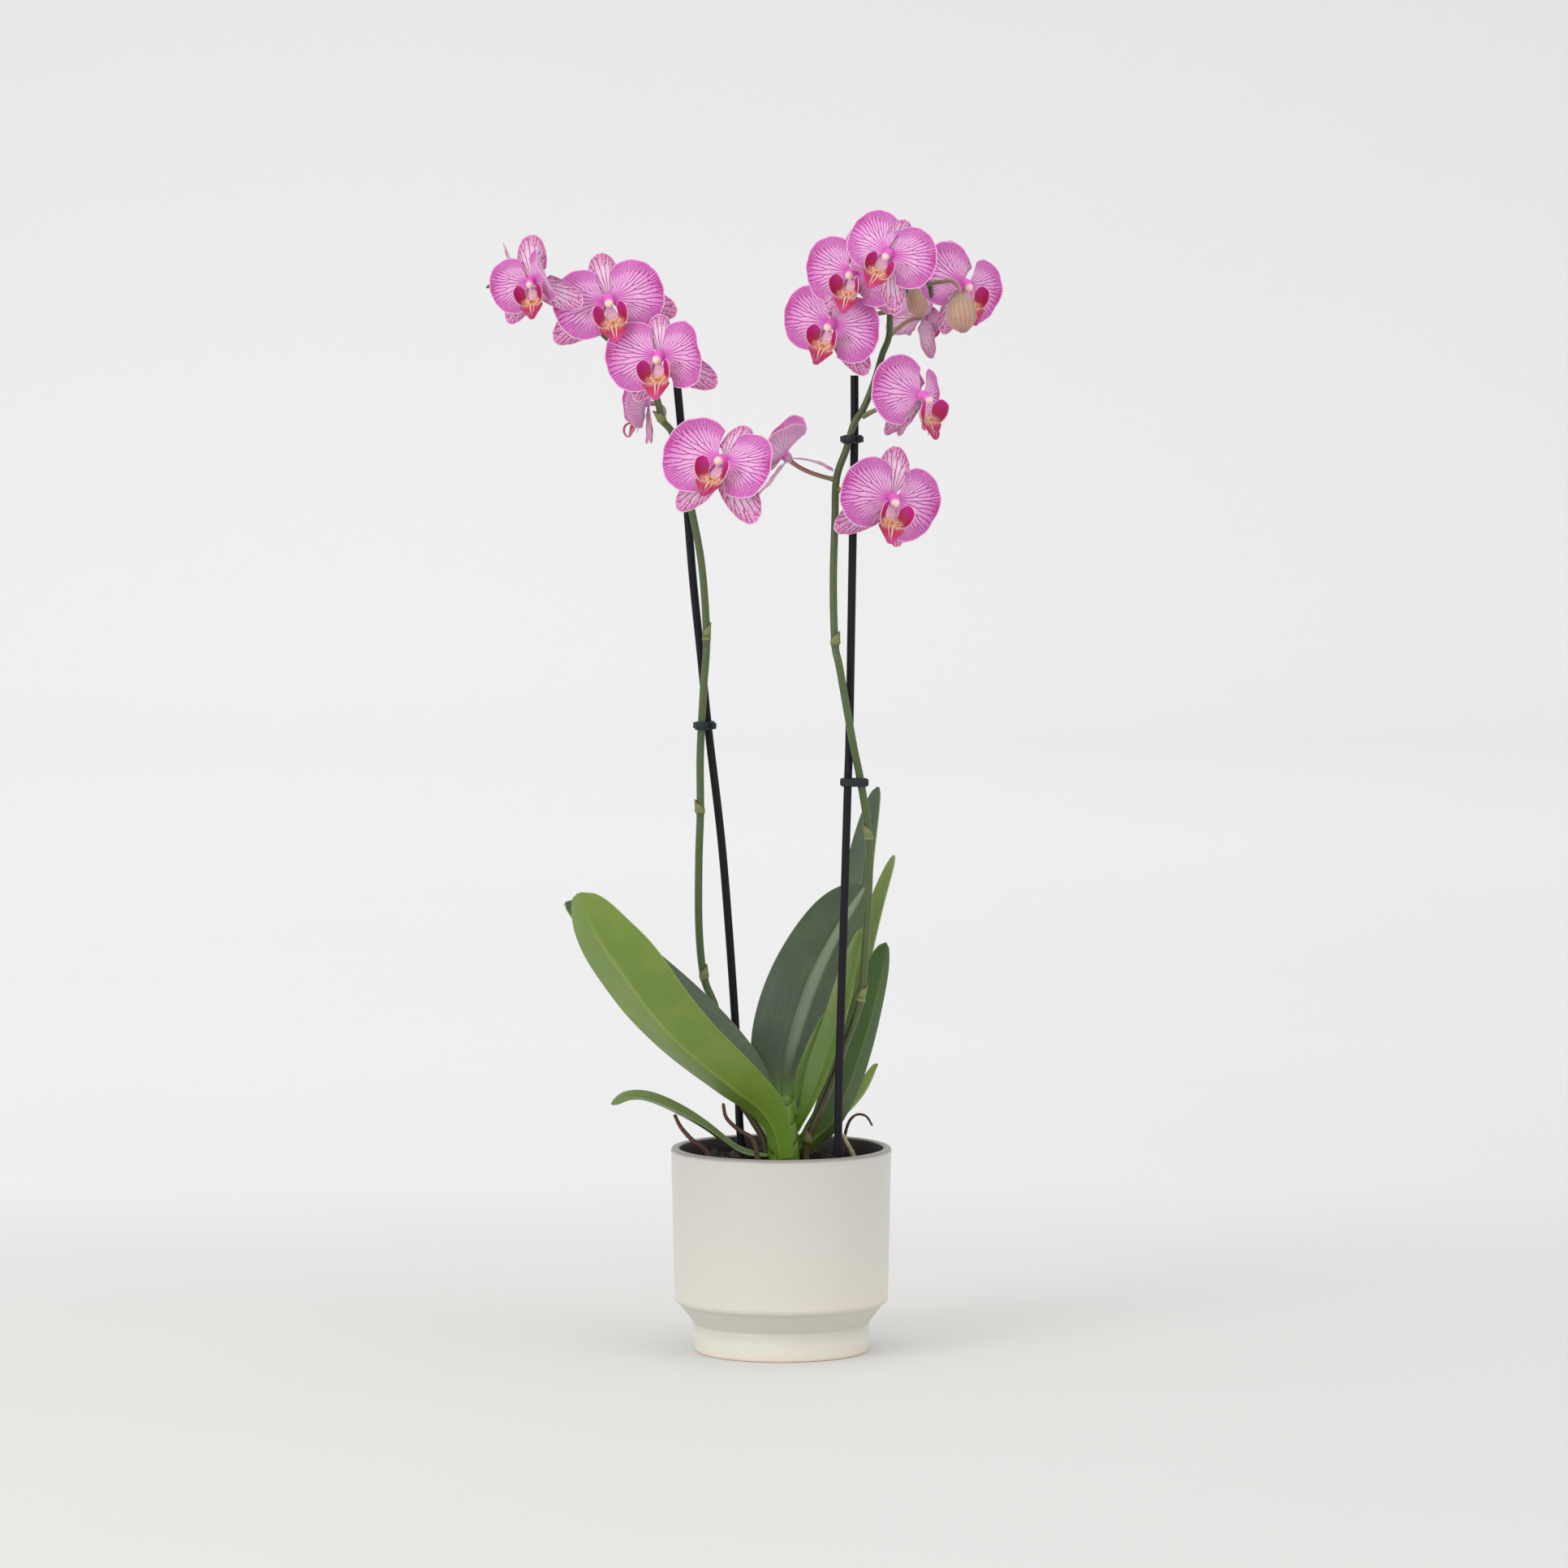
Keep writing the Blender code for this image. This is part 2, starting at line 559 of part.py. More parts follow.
def stalk(place, yaw, pitch, roll, size, node, via):
    """A flower stalk from its node on the spike, past any points, to just behind a bloom's hub."""
    matrix = bloom_matrix(place, yaw, pitch, roll, size)
    out = np.array((matrix.to_3x3() @ Vector((0, 0, -1))).normalized())
    end = np.array(matrix @ Vector((0, 0, -HUB_BACK))) + out * CLEAR * 1.5
    start = mm(*node)
    bow = end + out * STALK_REACH
    steps = [i / 4 for i in range(5)]
    if via:
        path = [start, *mm(*via), end + out * STALK_END, end]
    else:
        path = [(1 - t) ** 2 * start + 2 * t * (1 - t) * bow + t * t * end for t in steps]
    return tube(path, [PEDICEL_RADIUS] * len(path), 5)


# Each bud: its stalk from the spike in mm, then the middle and the end of the bud, its radius
BUDS = [
    ("bud_1", ((86, -20, 662), (82, -28, 665.5), (78.2, -33.7, 663), (79.5, -34.5, 659)),
     (83, -36, 649), (85, -37, 641), 6.4),
    ("bud_2", ((90, -21, 661), (97, -35, 662.5), (104.5, -46, 663), (108.2, -50, 659), (108.5, -51, 655)),
     (109.5, -54, 643), (111, -55, 632), 9.3),
]


def bud(name, stalk_points, middle, end, radius):
    """A closed bud: an egg with a blunt point."""
    top = mm(*stalk_points[-1])
    axis = mm(*end) - top
    gap = CLEAR * 1.5 / np.linalg.norm(axis)
    swell = mm(*middle) - (top + mm(*end)) / 2
    path, radii = [], []
    for t, share in ((0, 0.25), (0.14, 0.66), (0.36, 0.96), (0.62, 1.0), (0.86, 0.66), (1, 0.16)):
        path.append(top + axis * (gap + t * (1 - gap)) + swell * math.sin(math.pi * t))
        radii.append(radius / 1000 * share)
    points, faces = tube(path, radii, 8)
    return make_object(name, points, faces, MATERIALS["bud"])


def spike(name, path):
    """A stem with the stalks of its blooms and buds fused to it."""
    points, faces = tube(path, spike_radii(name, len(path)), 6)
    obj = make_object(name, points, faces, MATERIALS["stem"])
    letter = name.split("_")[1][0]
    pieces = []
    for bloom_name, *turn, tweaks in BLOOMS:
        if bloom_name[6] == letter:
            pieces.append(make_object("stalk", *stalk(*turn, tweaks.get("via"))))
    if name == "spike_right":
        for _, stalk_points, *_ in BUDS:
            path = mm(*stalk_points)
            pieces.append(make_object("stalk", *tube(path, [PEDICEL_RADIUS] * len(path), 5)))
    boolean_with(obj, pieces, "UNION")
    return obj


LEFT_STAKE = mm((-24, 20, 96), (-24, 20, 120), (-26, 19, 140), (-28, 18, 193), (-36, 11, 305),
                (-45, 2, 386), (-50, 0, 436), (-55, -2, 486), (-61, -6, 566), (-64, -8, 600))
RIGHT_STAKE = mm((35, -26, 96), (35, -26, 125), (36, -24, 187), (39, -20, 287), (41, -17, 354),
                 (42, -16, 387), (44, -12, 507), (45, -9, 566), (45, -8, 605))


def stake(name, path):
    points, faces = tube(path, [STAKE_RADIUS] * len(path), 8)
    return make_object(name, points, faces, MATERIALS["stake"])


# Each clip: the stake and the stem that it holds together, its height and its tabs' length in mm
CLIPS = [
    ("clip_left", LEFT_STAKE, LEFT_SPIKE, 389, 4),
    ("clip_right_low", RIGHT_STAKE, RIGHT_SPIKE, 355, 1),
    ("clip_right_high", RIGHT_STAKE, RIGHT_SPIKE, 566, 4),
]
CLIP_HEIGHT, CLIP_WALL, CLIP_TAB_WIDTH, CLIP_SIDES = 0.0050, 0.0010, 0.0024, 16
CLIMB = 19  # the first points of both spikes, up to where they stop rising steeply


def at_height(path, height):
    """The point of a rising path at this height."""
    return np.array([np.interp(height, path[:, 2], path[:, axis]) for axis in range(3)])


def clip(name, stake_path, stem_path, height, tab):
    """A band round stake and stem, leaning with both, with a tab to the left and the right."""
    height = height / 1000
    stem_path = stem_path[:CLIMB]
    axis = at_height(stem_path, height) - at_height(stake_path, height)
    length = np.linalg.norm(axis)
    axis /= length
    side = np.array((-axis[1], axis[0], 0))
    reach = max(STAKE_RADIUS, SPIKE_RADIUS) * 1.1 + CLEAR * 2
    points, faces, count = [], [], CLIP_SIDES
    for level in (height - CLIP_HEIGHT / 2, height + CLIP_HEIGHT / 2):
        centre = (at_height(stem_path, level) + at_height(stake_path, level)) / 2
        for extra in (0, CLIP_WALL):
            for k in range(count):
                turn = math.tau * (k + 0.5) / count
                shift = math.copysign(length / 2, math.cos(turn))
                points.append(centre + axis * (shift + (reach + extra) * math.cos(turn))
                              + side * (reach + extra) * math.sin(turn))
    rings = [[r * count + k for k in range(count)] for r in range(4)]
    for a, b in ((0, 1), (1, 3), (3, 2), (2, 0)):
        for k in range(count):
            n = (k + 1) % count
            faces.append((rings[a][k], rings[a][n], rings[b][n], rings[b][k]))
    band = make_object(name, points, faces, MATERIALS["clip"])
    out, across, start = (axis, side, length / 2) if abs(axis[0]) > 0.7 else (side, -axis, 0)
    tabs = []
    for sign in (-1, 1):
        corners = []
        for level in (height - CLIP_HEIGHT * 0.36, height + CLIP_HEIGHT * 0.36):
            centre = (at_height(stem_path, level) + at_height(stake_path, level)) / 2
            root = centre + out * sign * (start + reach + CLIP_WALL * 0.6)
            corners += [root + out * sign * tab / 1000 * x + across * CLIP_TAB_WIDTH * y
                        for x in (0, 1) for y in (-0.5, 0.5)]
        box = [(0, 1, 3, 2), (4, 6, 7, 5), (0, 4, 5, 1), (2, 3, 7, 6), (0, 2, 6, 4), (1, 5, 7, 3)]
        tabs.append(make_object("tab", corners, box))
    boolean_with(band, tabs, "UNION")
    return band


CROWN_PATH = mm((2, -9, 104), (2, -9, 118), (1, -9, 132), (2, -7, 146), (4, -4, 160))
CROWN_RADII = mm(8.0, 9.5, 9.8, 8.0, 5.0)


def crown(extra=0.0, name="crown"):
    """The short stem that all leaves grow from."""
    points, faces = tube(CROWN_PATH, CROWN_RADII + extra, 10)
    return make_object(name, points, faces, MATERIALS["leaf"])


# Each air root, in mm from its tip down into the bark, and its radius
ROOTS = [
    ("root_1", ((-66, -22, 150), (-62, -22, 142), (-55, -22, 134), (-46, -20, 126), (-42, -20, 112)), 1.8),
    ("root_2", ((-36, -14, 156), (-34, -14, 147), (-27, -15, 140), (-18, -17, 134), (-15, -20, 124),
                (-15, -21, 112)), 1.8),
    ("root_3", ((57, 33, 136), (53, 33, 142), (47, 33, 143), (42, 32, 138), (39, 31, 126), (38, 31, 112)),
     1.1),
    ("root_4", ((38, 8, 134), (41, 8, 128), (45, 8, 120), (46, 8, 112)), 1.8),
]

ROOT_TIP = 0.6  # share of its radius that a root keeps at its tip


def root(name, points, radius):
    path = mm(*points)
    radii = np.linspace(ROOT_TIP, 1.0, len(path)) * radius / 1000
    points, faces = tube(path, radii, 5)
    return make_object(name, points, faces, MATERIALS["root"])


HOLE_TOP = 0.1300


def hole(path, radius, sides):
    """A cutter for the bark, which follows what stands there with a small gap round it."""
    low = np.array([p for p in path if p[2] < HOLE_TOP])
    first = low[np.argmin(low[:, 2])]
    others = sorted((tuple(p) for p in path if first[2] < p[2] < HOLE_TOP), key=lambda p: p[2])
    points = [first - (0, 0, 0.001)] + [np.array(p) for p in others]
    if len(points) == 1 or points[-1][2] < HOLE_TOP - 0.002:
        above = min((p for p in path if p[2] >= HOLE_TOP), key=lambda p: p[2])
        last = points[-1]
        share = (HOLE_TOP - last[2]) / (above[2] - last[2])
        points.append(last + (above - last) * share)
    verts, faces = tube(points, [radius + 2 * CLEAR] * len(points), sides)
    return make_object("hole", verts, faces)


def holes():
    cutters = [hole(path, SPIKE_RADIUS, 8) for path in (LEFT_SPIKE, RIGHT_SPIKE)]
    cutters += [hole(path, STAKE_RADIUS, 8) for path in (LEFT_STAKE, RIGHT_STAKE)]
    cutters += [hole(mm(*points), radius / 1000, 6) for _, points, radius in ROOTS]
    return cutters + [crown(2 * CLEAR, "hole")]


# Each leaf: midrib from base to tip in mm, half width, the way its upper side faces, its fold
# in degrees and where along it the leaf is widest
LEAVES = [
    ("leaf_1", ((0, -20.2, 122), (-4, -21.5, 140), (-13, -25, 154), (-31, -33, 169), (-58, -46, 193),
                (-79, -58, 217), (-98, -70, 245), (-112, -76, 267), (-123, -80, 292)),
     30, (0.5, 0.75, 0.45), 18, 0.72),
    ("leaf_2", ((-5, -5, 142), (-12, -8, 160), (-26.5, -11, 180), (-53, -14, 207.5), (-82, -18, 234.5),
                (-108, -22, 259), (-133, -25, 281)), 18, (0.45, -0.7, 0.5), 18, 0.6),
    ("leaf_3", ((-7.5, -7, 122), (-17, -9, 123), (-28, -13, 127), (-46, -20, 141), (-64, -26, 152),
                (-81, -31, 160), (-94, -34, 162), (-104, -36, 158)), 9, (0.3, -0.2, 0.9), 15, 0.6),
    ("leaf_4", ((1.5, 0, 151), (0, 9, 168), (6, 18, 196), (18, 28, 230), (35, 40, 262), (52, 46, 285)),
     26, (-0.4, -0.9, 0.25), 14, 0.5),
    ("leaf_5", ((5, -0.5, 140), (11, 10, 151), (24, 29, 178), (37, 47, 210), (45, 59, 250), (51, 67, 285),
                (55, 71, 313), (61, 74, 345)), 16, (-0.75, -0.6, 0.2), 22, 0.6),
    ("leaf_6", ((4, 1.5, 133), (16, 23, 150), (38, 48, 190), (49, 64, 224), (57, 74, 254), (64, 80, 279),
                (71, 84, 301)), 8, (-0.6, -0.7, 0.3), 22, 0.5),
    ("leaf_7", ((9, -3, 126), (19, 4, 131), (31, 10, 142), (41, 16, 163), (49, 21, 185), (56, 25, 208),
                (61.5, 28, 230), (65, 30, 251)), 20, (-0.7, 0.65, 0.3), 18, 0.5),
    ("leaf_8", ((4, 1, 124), (13, 15, 125), (24, 29, 130), (36, 38, 140), (50, 46, 155), (60, 50, 173)),
     10, (-0.6, 0.5, 0.5), 20, 0.5),
    ("leaf_9", ((10, -8, 138), (22.5, -10, 167), (34.5, -7.5, 201), (43, -1, 235), (50, 4, 262)),
     10.5, (-0.6, -0.75, 0.3), 32, 0.4),
    ("leaf_10", ((9, -5, 156), (12, -3.5, 168), (17, -2, 183), (23, 0.5, 198), (28, 2.5, 209)),
     4.5, (-0.2, -0.95, 0.3), 30, 0.4),
]


# A leaf's width at its base, as a share of its full one, and how slowly it widens from there
LEAF_BASE = {"leaf_1": (0.28, 1.5)}
PLAIN_LEAF_BASE = (0.2, 1.0)


def leaf_width(t, base, widest, rise):
    """Share of a leaf's half width at t along it, from the share at its base."""
    if t < widest:
        return base + (1 - base) * math.sin(0.5 * math.pi * t / widest) ** rise
    u = (t - widest) / (1 - widest)
    return 0.05 + 0.95 * math.sqrt(max(0.0, 1 - u**1.7))


def leaf_surface(midrib, half_width, faces_to, fold, widest, base, rise):
    """A folded leaf along its midrib, as a function."""
    path = mm(*midrib)
    fold = math.radians(fold)

    def surface(s, t):
        point = curve_point(path, t)
        ahead = curve_point(path, min(t + 0.01, 1)) - curve_point(path, max(t - 0.01, 0))
        ahead /= np.linalg.norm(ahead)
        upper = np.asarray(faces_to, float) - np.dot(faces_to, ahead) * ahead
        upper /= np.linalg.norm(upper)
        side = np.cross(ahead, upper)
        width = half_width / 1000 * leaf_width(t, base, widest, rise)
        span = 2 * s - 1
        return point + width * (span * math.cos(fold) * side + abs(span) * math.sin(fold) * upper)

    return surface


LEAF_ROWS = [(0, 3), (0.15, 3), (0.33, 3), (0.52, 3), (0.7, 3), (0.86, 5), (0.95, 5), (1, 3)]


def leaf(name, midrib, half_width, faces_to, fold, widest):
    base, rise = LEAF_BASE.get(name, PLAIN_LEAF_BASE)
    surface = leaf_surface(midrib, half_width, faces_to, fold, widest, base, rise)
    points, faces = blade(surface, LEAF_ROWS, LEAF)
    obj = make_object(name, points, faces, MATERIALS["leaf"])
    boolean_with(obj, [crown(CLEAR, "seat")], "DIFFERENCE")
    return obj


MATERIALS = {}


def make_materials():
    MATERIALS["petal"] = finish_material("petal", (0.75, 0.27, 0.62), 0.5)
    MATERIALS["lip"] = finish_material("lip", (0.55, 0.02, 0.22), 0.45)
    MATERIALS["bud"] = finish_material("bud", (0.52, 0.30, 0.21), 0.5)
    MATERIALS["stem"] = finish_material("stem", (0.12, 0.22, 0.06), 0.5)
    MATERIALS["leaf"] = finish_material("leaf", (0.16, 0.30, 0.06), 0.4)
    MATERIALS["root"] = finish_material("root", (0.20, 0.12, 0.08), 0.8)
    MATERIALS["stake"] = finish_material("stake", (0.012, 0.012, 0.016), 0.4)
    MATERIALS["clip"] = finish_material("clip", (0.03, 0.05, 0.05), 0.45)


def main():
    clear_scene()
    make_materials()
    pot()
    nursery_pot()
    bark(holes())
    crown()
    for row in LEAVES:
        leaf(*row)
    for row in ROOTS:
        root(*row)
    spike("spike_left", LEFT_SPIKE)
    spike("spike_right", RIGHT_SPIKE)
    stake("stake_left", LEFT_STAKE)
    stake("stake_right", RIGHT_STAKE)
    for row in CLIPS:
        clip(*row)
    for row in BLOOMS:
        bloom(*row)
    for row in BUDS:
        bud(*row)


main()
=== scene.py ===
"""Looks of the potted moth orchid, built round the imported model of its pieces.

Metres, +Z up. The origin is the centre of the pot's flat underside, and the plant's front is
towards -Y. Point lists are in millimetres, and mm() turns them into metres.
"""

import math
import random

import bpy
import numpy as np
from mathutils import Matrix, Vector


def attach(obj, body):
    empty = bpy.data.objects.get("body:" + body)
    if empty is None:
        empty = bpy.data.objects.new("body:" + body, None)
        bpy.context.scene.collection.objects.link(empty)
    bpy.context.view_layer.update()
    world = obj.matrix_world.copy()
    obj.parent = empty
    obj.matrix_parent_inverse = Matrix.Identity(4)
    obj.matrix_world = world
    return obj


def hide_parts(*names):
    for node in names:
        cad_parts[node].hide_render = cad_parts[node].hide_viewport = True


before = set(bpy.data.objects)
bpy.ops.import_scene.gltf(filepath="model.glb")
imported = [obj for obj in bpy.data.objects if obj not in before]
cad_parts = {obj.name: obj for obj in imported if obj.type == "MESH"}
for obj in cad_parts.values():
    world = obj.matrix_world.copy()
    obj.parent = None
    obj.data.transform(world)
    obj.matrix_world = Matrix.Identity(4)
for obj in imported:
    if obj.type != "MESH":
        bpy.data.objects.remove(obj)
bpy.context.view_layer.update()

# Camera, as the photograph was taken
CAMERA_PLACE = (0.0017, -4.6, 0.705)
CAMERA_PITCH = 4.38
CAMERA_LENS = 171.4

# How finely sheets are divided across and along, and rods and turned shells round
PETAL_GRID, SEPAL_GRID, LEAF_GRID, BRACT_GRID = (69, 29), (41, 25), (41, 81), (21, 13)
PLATE_GRID, LOBE_GRID, CALLUS_GRID, CHIP_GRID, TAB_GRID = (27, 57), (25, 41), (33, 13), (9, 6), (9, 9)
STEM_SIDES, STALK_SIDES, COLUMN_SIDES, STAKE_SIDES, ROOT_SIDES = 20, 14, 28, 28, 16
CROWN_SIDES, BUD_SIDES, CLIP_SIDES, POT_SIDES, LINER_SIDES, BARK_SIDES = 64, 48, 64, 192, 128, 96
CROWN_STEPS, BUD_STEPS, STAKE_STEPS, STALK_STEPS, ROOT_STEPS = 64, 40, 90, 28, 48
SHARP_ANGLE = 50  # degrees between two faces from which their edge looks sharp
ASKEW = (0.31, 0.87, 0.22)  # a direction that no rod starts in
STEP_AHEAD = 0.01  # how far before and after a point of a path its direction is taken

# Sizes that the model's pieces share
CLEAR = 0.0003
POT_HEIGHT = 0.127
POT_RADIUS = 0.0685
POT_WALL = 0.0053
POT_SHOULDER_RADIUS = 0.0662
POT_SHOULDER_Z = 0.033
POT_NECK_RADIUS = 0.0545
POT_NECK_Z = 0.0175
POT_FOOT_RADIUS = 0.0538
POT_FLOOR = 0.007
LINER_TOP_RADIUS = 0.0600
LINER_TOP_Z = 0.1150
LINER_BASE_RADIUS = 0.0440
LINER_WALL = 0.0012
LINER_RIM = 0.0015
LINER_RIM_HEIGHT = 0.0035
BARK_Z = 0.1160
PETAL_LENGTH = 0.0345
PETAL_BREADTH = 0.0430
SEPAL_LENGTH = 0.0290
SEPAL_BREADTH = 0.0195
LOW_SEPAL_LENGTH = 0.0395
ORGAN_ROOT = 0.0022
STAKE_RADIUS = 0.0025
PEDICEL_RADIUS = 0.0014


def mm(*values):
    return np.array(values, float) / 1000.0


def rgb(red, green, blue):
    """A colour as it looks on a screen, 0 to 255, turned into a linear one."""
    out = []
    for value in (red, green, blue):
        value /= 255
        out.append(value / 12.92 if value < 0.04045 else ((value + 0.055) / 1.055) ** 2.4)
    return (*out, 1.0)


# Shapes: each part is places, four-cornered faces, one (u, v) for each place and one material
# number for each face


def unit(vectors):
    """Vectors of the same directions, each one long."""
    return vectors / np.linalg.norm(vectors, axis=-1, keepdims=True)


def circle(sides):
    return np.linspace(0, math.tau, sides, endpoint=False)


def hill(distance, width):
    """1 at no distance, falling to nothing over a few widths."""
    return np.exp(-((distance / width) ** 2))


def curve(path, t):
    """Points on the smooth curve through the points of a path, t from 0 to 1."""
    path = np.asarray(path, float)
    ends = np.vstack([2 * path[0] - path[1], path, 2 * path[-1] - path[-2]])
    place = np.clip(t, 0, 1) * (len(path) - 1)
    k = np.minimum(place.astype(int), len(path) - 2)
    u = (place - k)[..., None]
    a, b, c, d = ends[k], ends[k + 1], ends[k + 2], ends[k + 3]
    return 0.5 * (2 * b + (c - a) * u + (2 * a - 5 * b + 4 * c - d) * u**2
                  + (3 * b - a - 3 * c + d) * u**3)


def heading(path, t):
    """The direction of a path at t."""
    return unit(curve(path, t + STEP_AHEAD) - curve(path, t - STEP_AHEAD))


def between(values, t, soft):
    """Values spread evenly over t from 0 to 1, with corners rounded over a soft stretch."""
    places = np.linspace(0, 1, len(values))
    shifts = (-soft, -soft / 2, 0, soft / 2, soft)
    return sum(np.interp(np.clip(t + shift, 0, 1), places, values) for shift in shifts) / len(shifts)


def smooth_step(value, low, high):
    share = np.clip((value - low) / (high - low), 0, 1)
    return share * share * (3 - 2 * share)


def grid(across, along):
    """s across and t along a sheet, as two arrays."""
    return np.meshgrid(np.linspace(0, 1, across), np.linspace(0, 1, along), indexing="ij")


def outward(points, faces):
    """The faces, turned round if they point inwards."""
    a, b, c, d = (points[faces[:, k]] for k in range(4))
    volume = np.einsum("ij,ij->", a, np.cross(b, c)) + np.einsum("ij,ij->", a, np.cross(c, d))
    return faces[:, ::-1] if volume < 0 else faces


def faces_between(number):
    """Four-cornered faces between the numbered places of a grid."""
    corners = number[:-1, :-1], number[1:, :-1], number[1:, 1:], number[:-1, 1:]
    return np.stack(corners, -1).reshape(-1, 4)


def sheet(points, thickness, uv, upper=0, under=0):
    """A closed thin sheet round a grid of points."""
    across, along = points.shape[:2]
    count = across * along
    normal = np.cross(np.gradient(points, axis=1), np.gradient(points, axis=0))
    normal /= np.maximum(np.linalg.norm(normal, axis=2, keepdims=True), 1e-12)
    half = normal * (thickness / 2 * np.ones((across, along)))[..., None]
    number = np.arange(count).reshape(across, along)
    top = faces_between(number)
    rim = np.concatenate([number[:, 0], number[-1, 1:], number[-2::-1, -1], number[0, -2:0:-1]])
    following = np.roll(rim, -1)
    edge = np.stack([following, rim, rim + count, following + count], -1)
    places = np.concatenate([(points + half).reshape(-1, 3), (points - half).reshape(-1, 3)])
    faces = np.concatenate([top, top[:, ::-1] + count, edge])
    slots = np.repeat([upper, under, upper], [len(top), len(top), len(edge)])
    return places, outward(places, faces), np.tile(np.stack(uv, -1).reshape(-1, 2), (2, 1)), slots


def tube(points, radii, sides, slot=0, u_values=None):
    """A round rod along points. v runs along it, and u is 0 to 1 round it or as given."""
    tangents = unit(np.gradient(points, axis=0))
    turns = circle(sides)
    side = np.cross(tangents[0], ASKEW)
    rings = [points[:1].repeat(sides, 0)]
    for point, tangent, radius in zip(points, tangents, radii):
        side = unit(side - np.dot(side, tangent) * tangent)
        other = np.cross(tangent, side)
        rings.append(point + radius * (np.cos(turns)[:, None] * side + np.sin(turns)[:, None] * other))
    rings.append(points[-1:].repeat(sides, 0))
    u = np.tile(turns / math.tau, len(rings))
    if u_values is not None:
        u = np.pad(u_values, 1, mode="edge").repeat(sides)
    v = np.pad(np.linspace(0, 1, len(points)), 1, mode="edge").repeat(sides)
    return ring_part(rings, u, v, slot)


def ring_part(rings, u, v, slot=0):
    """Faces between rings of places that follow one another."""
    number = np.arange(len(u)).reshape(len(rings), -1)
    following = np.roll(number, -1, axis=1)
    faces = np.stack([number[:-1], following[:-1], following[1:], number[1:]], -1).reshape(-1, 4)
    places = np.concatenate(rings)
    return places, outward(places, faces), np.stack([u, v], -1), np.full(len(faces), slot)


def lathe(profile, sides):
    """Turns an outline of (radius, height) pairs round Z."""
    turns = circle(sides)
    rings = [np.stack([r * np.cos(turns), r * np.sin(turns), np.full(sides, z)], -1) for r, z in profile]
    v = np.linspace(0, 1, len(profile)).repeat(sides)
    return ring_part(rings, np.tile(turns / math.tau, len(profile)), v)


def rounded(corners, radius, steps=6):
    """An outline with each inner corner replaced by an arc-like curve."""
    corners = [np.array(c, float) for c in corners]
    out = [corners[0]]
    for before, corner, after in zip(corners, corners[1:], corners[2:]):
        first = corner + (before - corner) * min(0.5, radius / np.linalg.norm(before - corner))
        last = corner + (after - corner) * min(0.5, radius / np.linalg.norm(after - corner))
        for t in np.linspace(0, 1, steps):
            out.append((1 - t) ** 2 * first + 2 * t * (1 - t) * corner + t * t * last)
    return out + [corners[-1]]


def placed(part, matrix):
    """A part moved by a matrix."""
    places, faces, uvs, slots = part
    matrix = np.array(matrix)
    return places @ matrix[:3, :3].T + matrix[:3, 3], faces, uvs, slots


def flipped(part):
    """A part mirrored in X."""
    places, faces, uvs, slots = part
    return places * (-1, 1, 1), faces[:, ::-1], uvs, slots


def added(name, data):
    """A new object in the scene."""
    obj = bpy.data.objects.new(name, data)
    bpy.context.scene.collection.objects.link(obj)
    return obj


def piece(name, parts, materials, slot, *nodes):
    """One object from parts, riding on the root body and standing for its nodes."""
    places, faces, uvs, slots = zip(*parts)
    starts = np.cumsum([0, *map(len, places)])
    faces = np.concatenate([part + start for part, start in zip(faces, starts)])
    mesh = bpy.data.meshes.new(name)
    mesh.from_pydata(np.concatenate(places).tolist(), [], faces.tolist())
    layer = mesh.uv_layers.new(name="Sheet")
    layer.data.foreach_set("uv", np.concatenate(uvs)[faces.reshape(-1)].reshape(-1))
    for material in materials:
        mesh.materials.append(material)
    mesh.polygons.foreach_set("material_index", np.concatenate(slots).astype(int))
    mesh.shade_smooth()
    mesh.set_sharp_from_angle(angle=math.radians(SHARP_ANGLE))
    obj = added(name, mesh)
    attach(obj, "root")
    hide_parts(*nodes)


# Materials. Colours are given as they look on a screen, 0 to 255


class Value:
    """A number, place or colour that a material works out, with plain arithmetic."""

    def __init__(self, finish, socket):
        self.finish = finish
        self.socket = socket

    def __add__(self, other):
        return self.finish.math("ADD", self, other)

    def __sub__(self, other):
        return self.finish.math("SUBTRACT", self, other)

    def __mul__(self, other):
        return self.finish.math("MULTIPLY", self, other)

    def __truediv__(self, other):
        return self.finish.math("DIVIDE", self, other)

    def __abs__(self):
        return self.finish.math("ABSOLUTE", self)


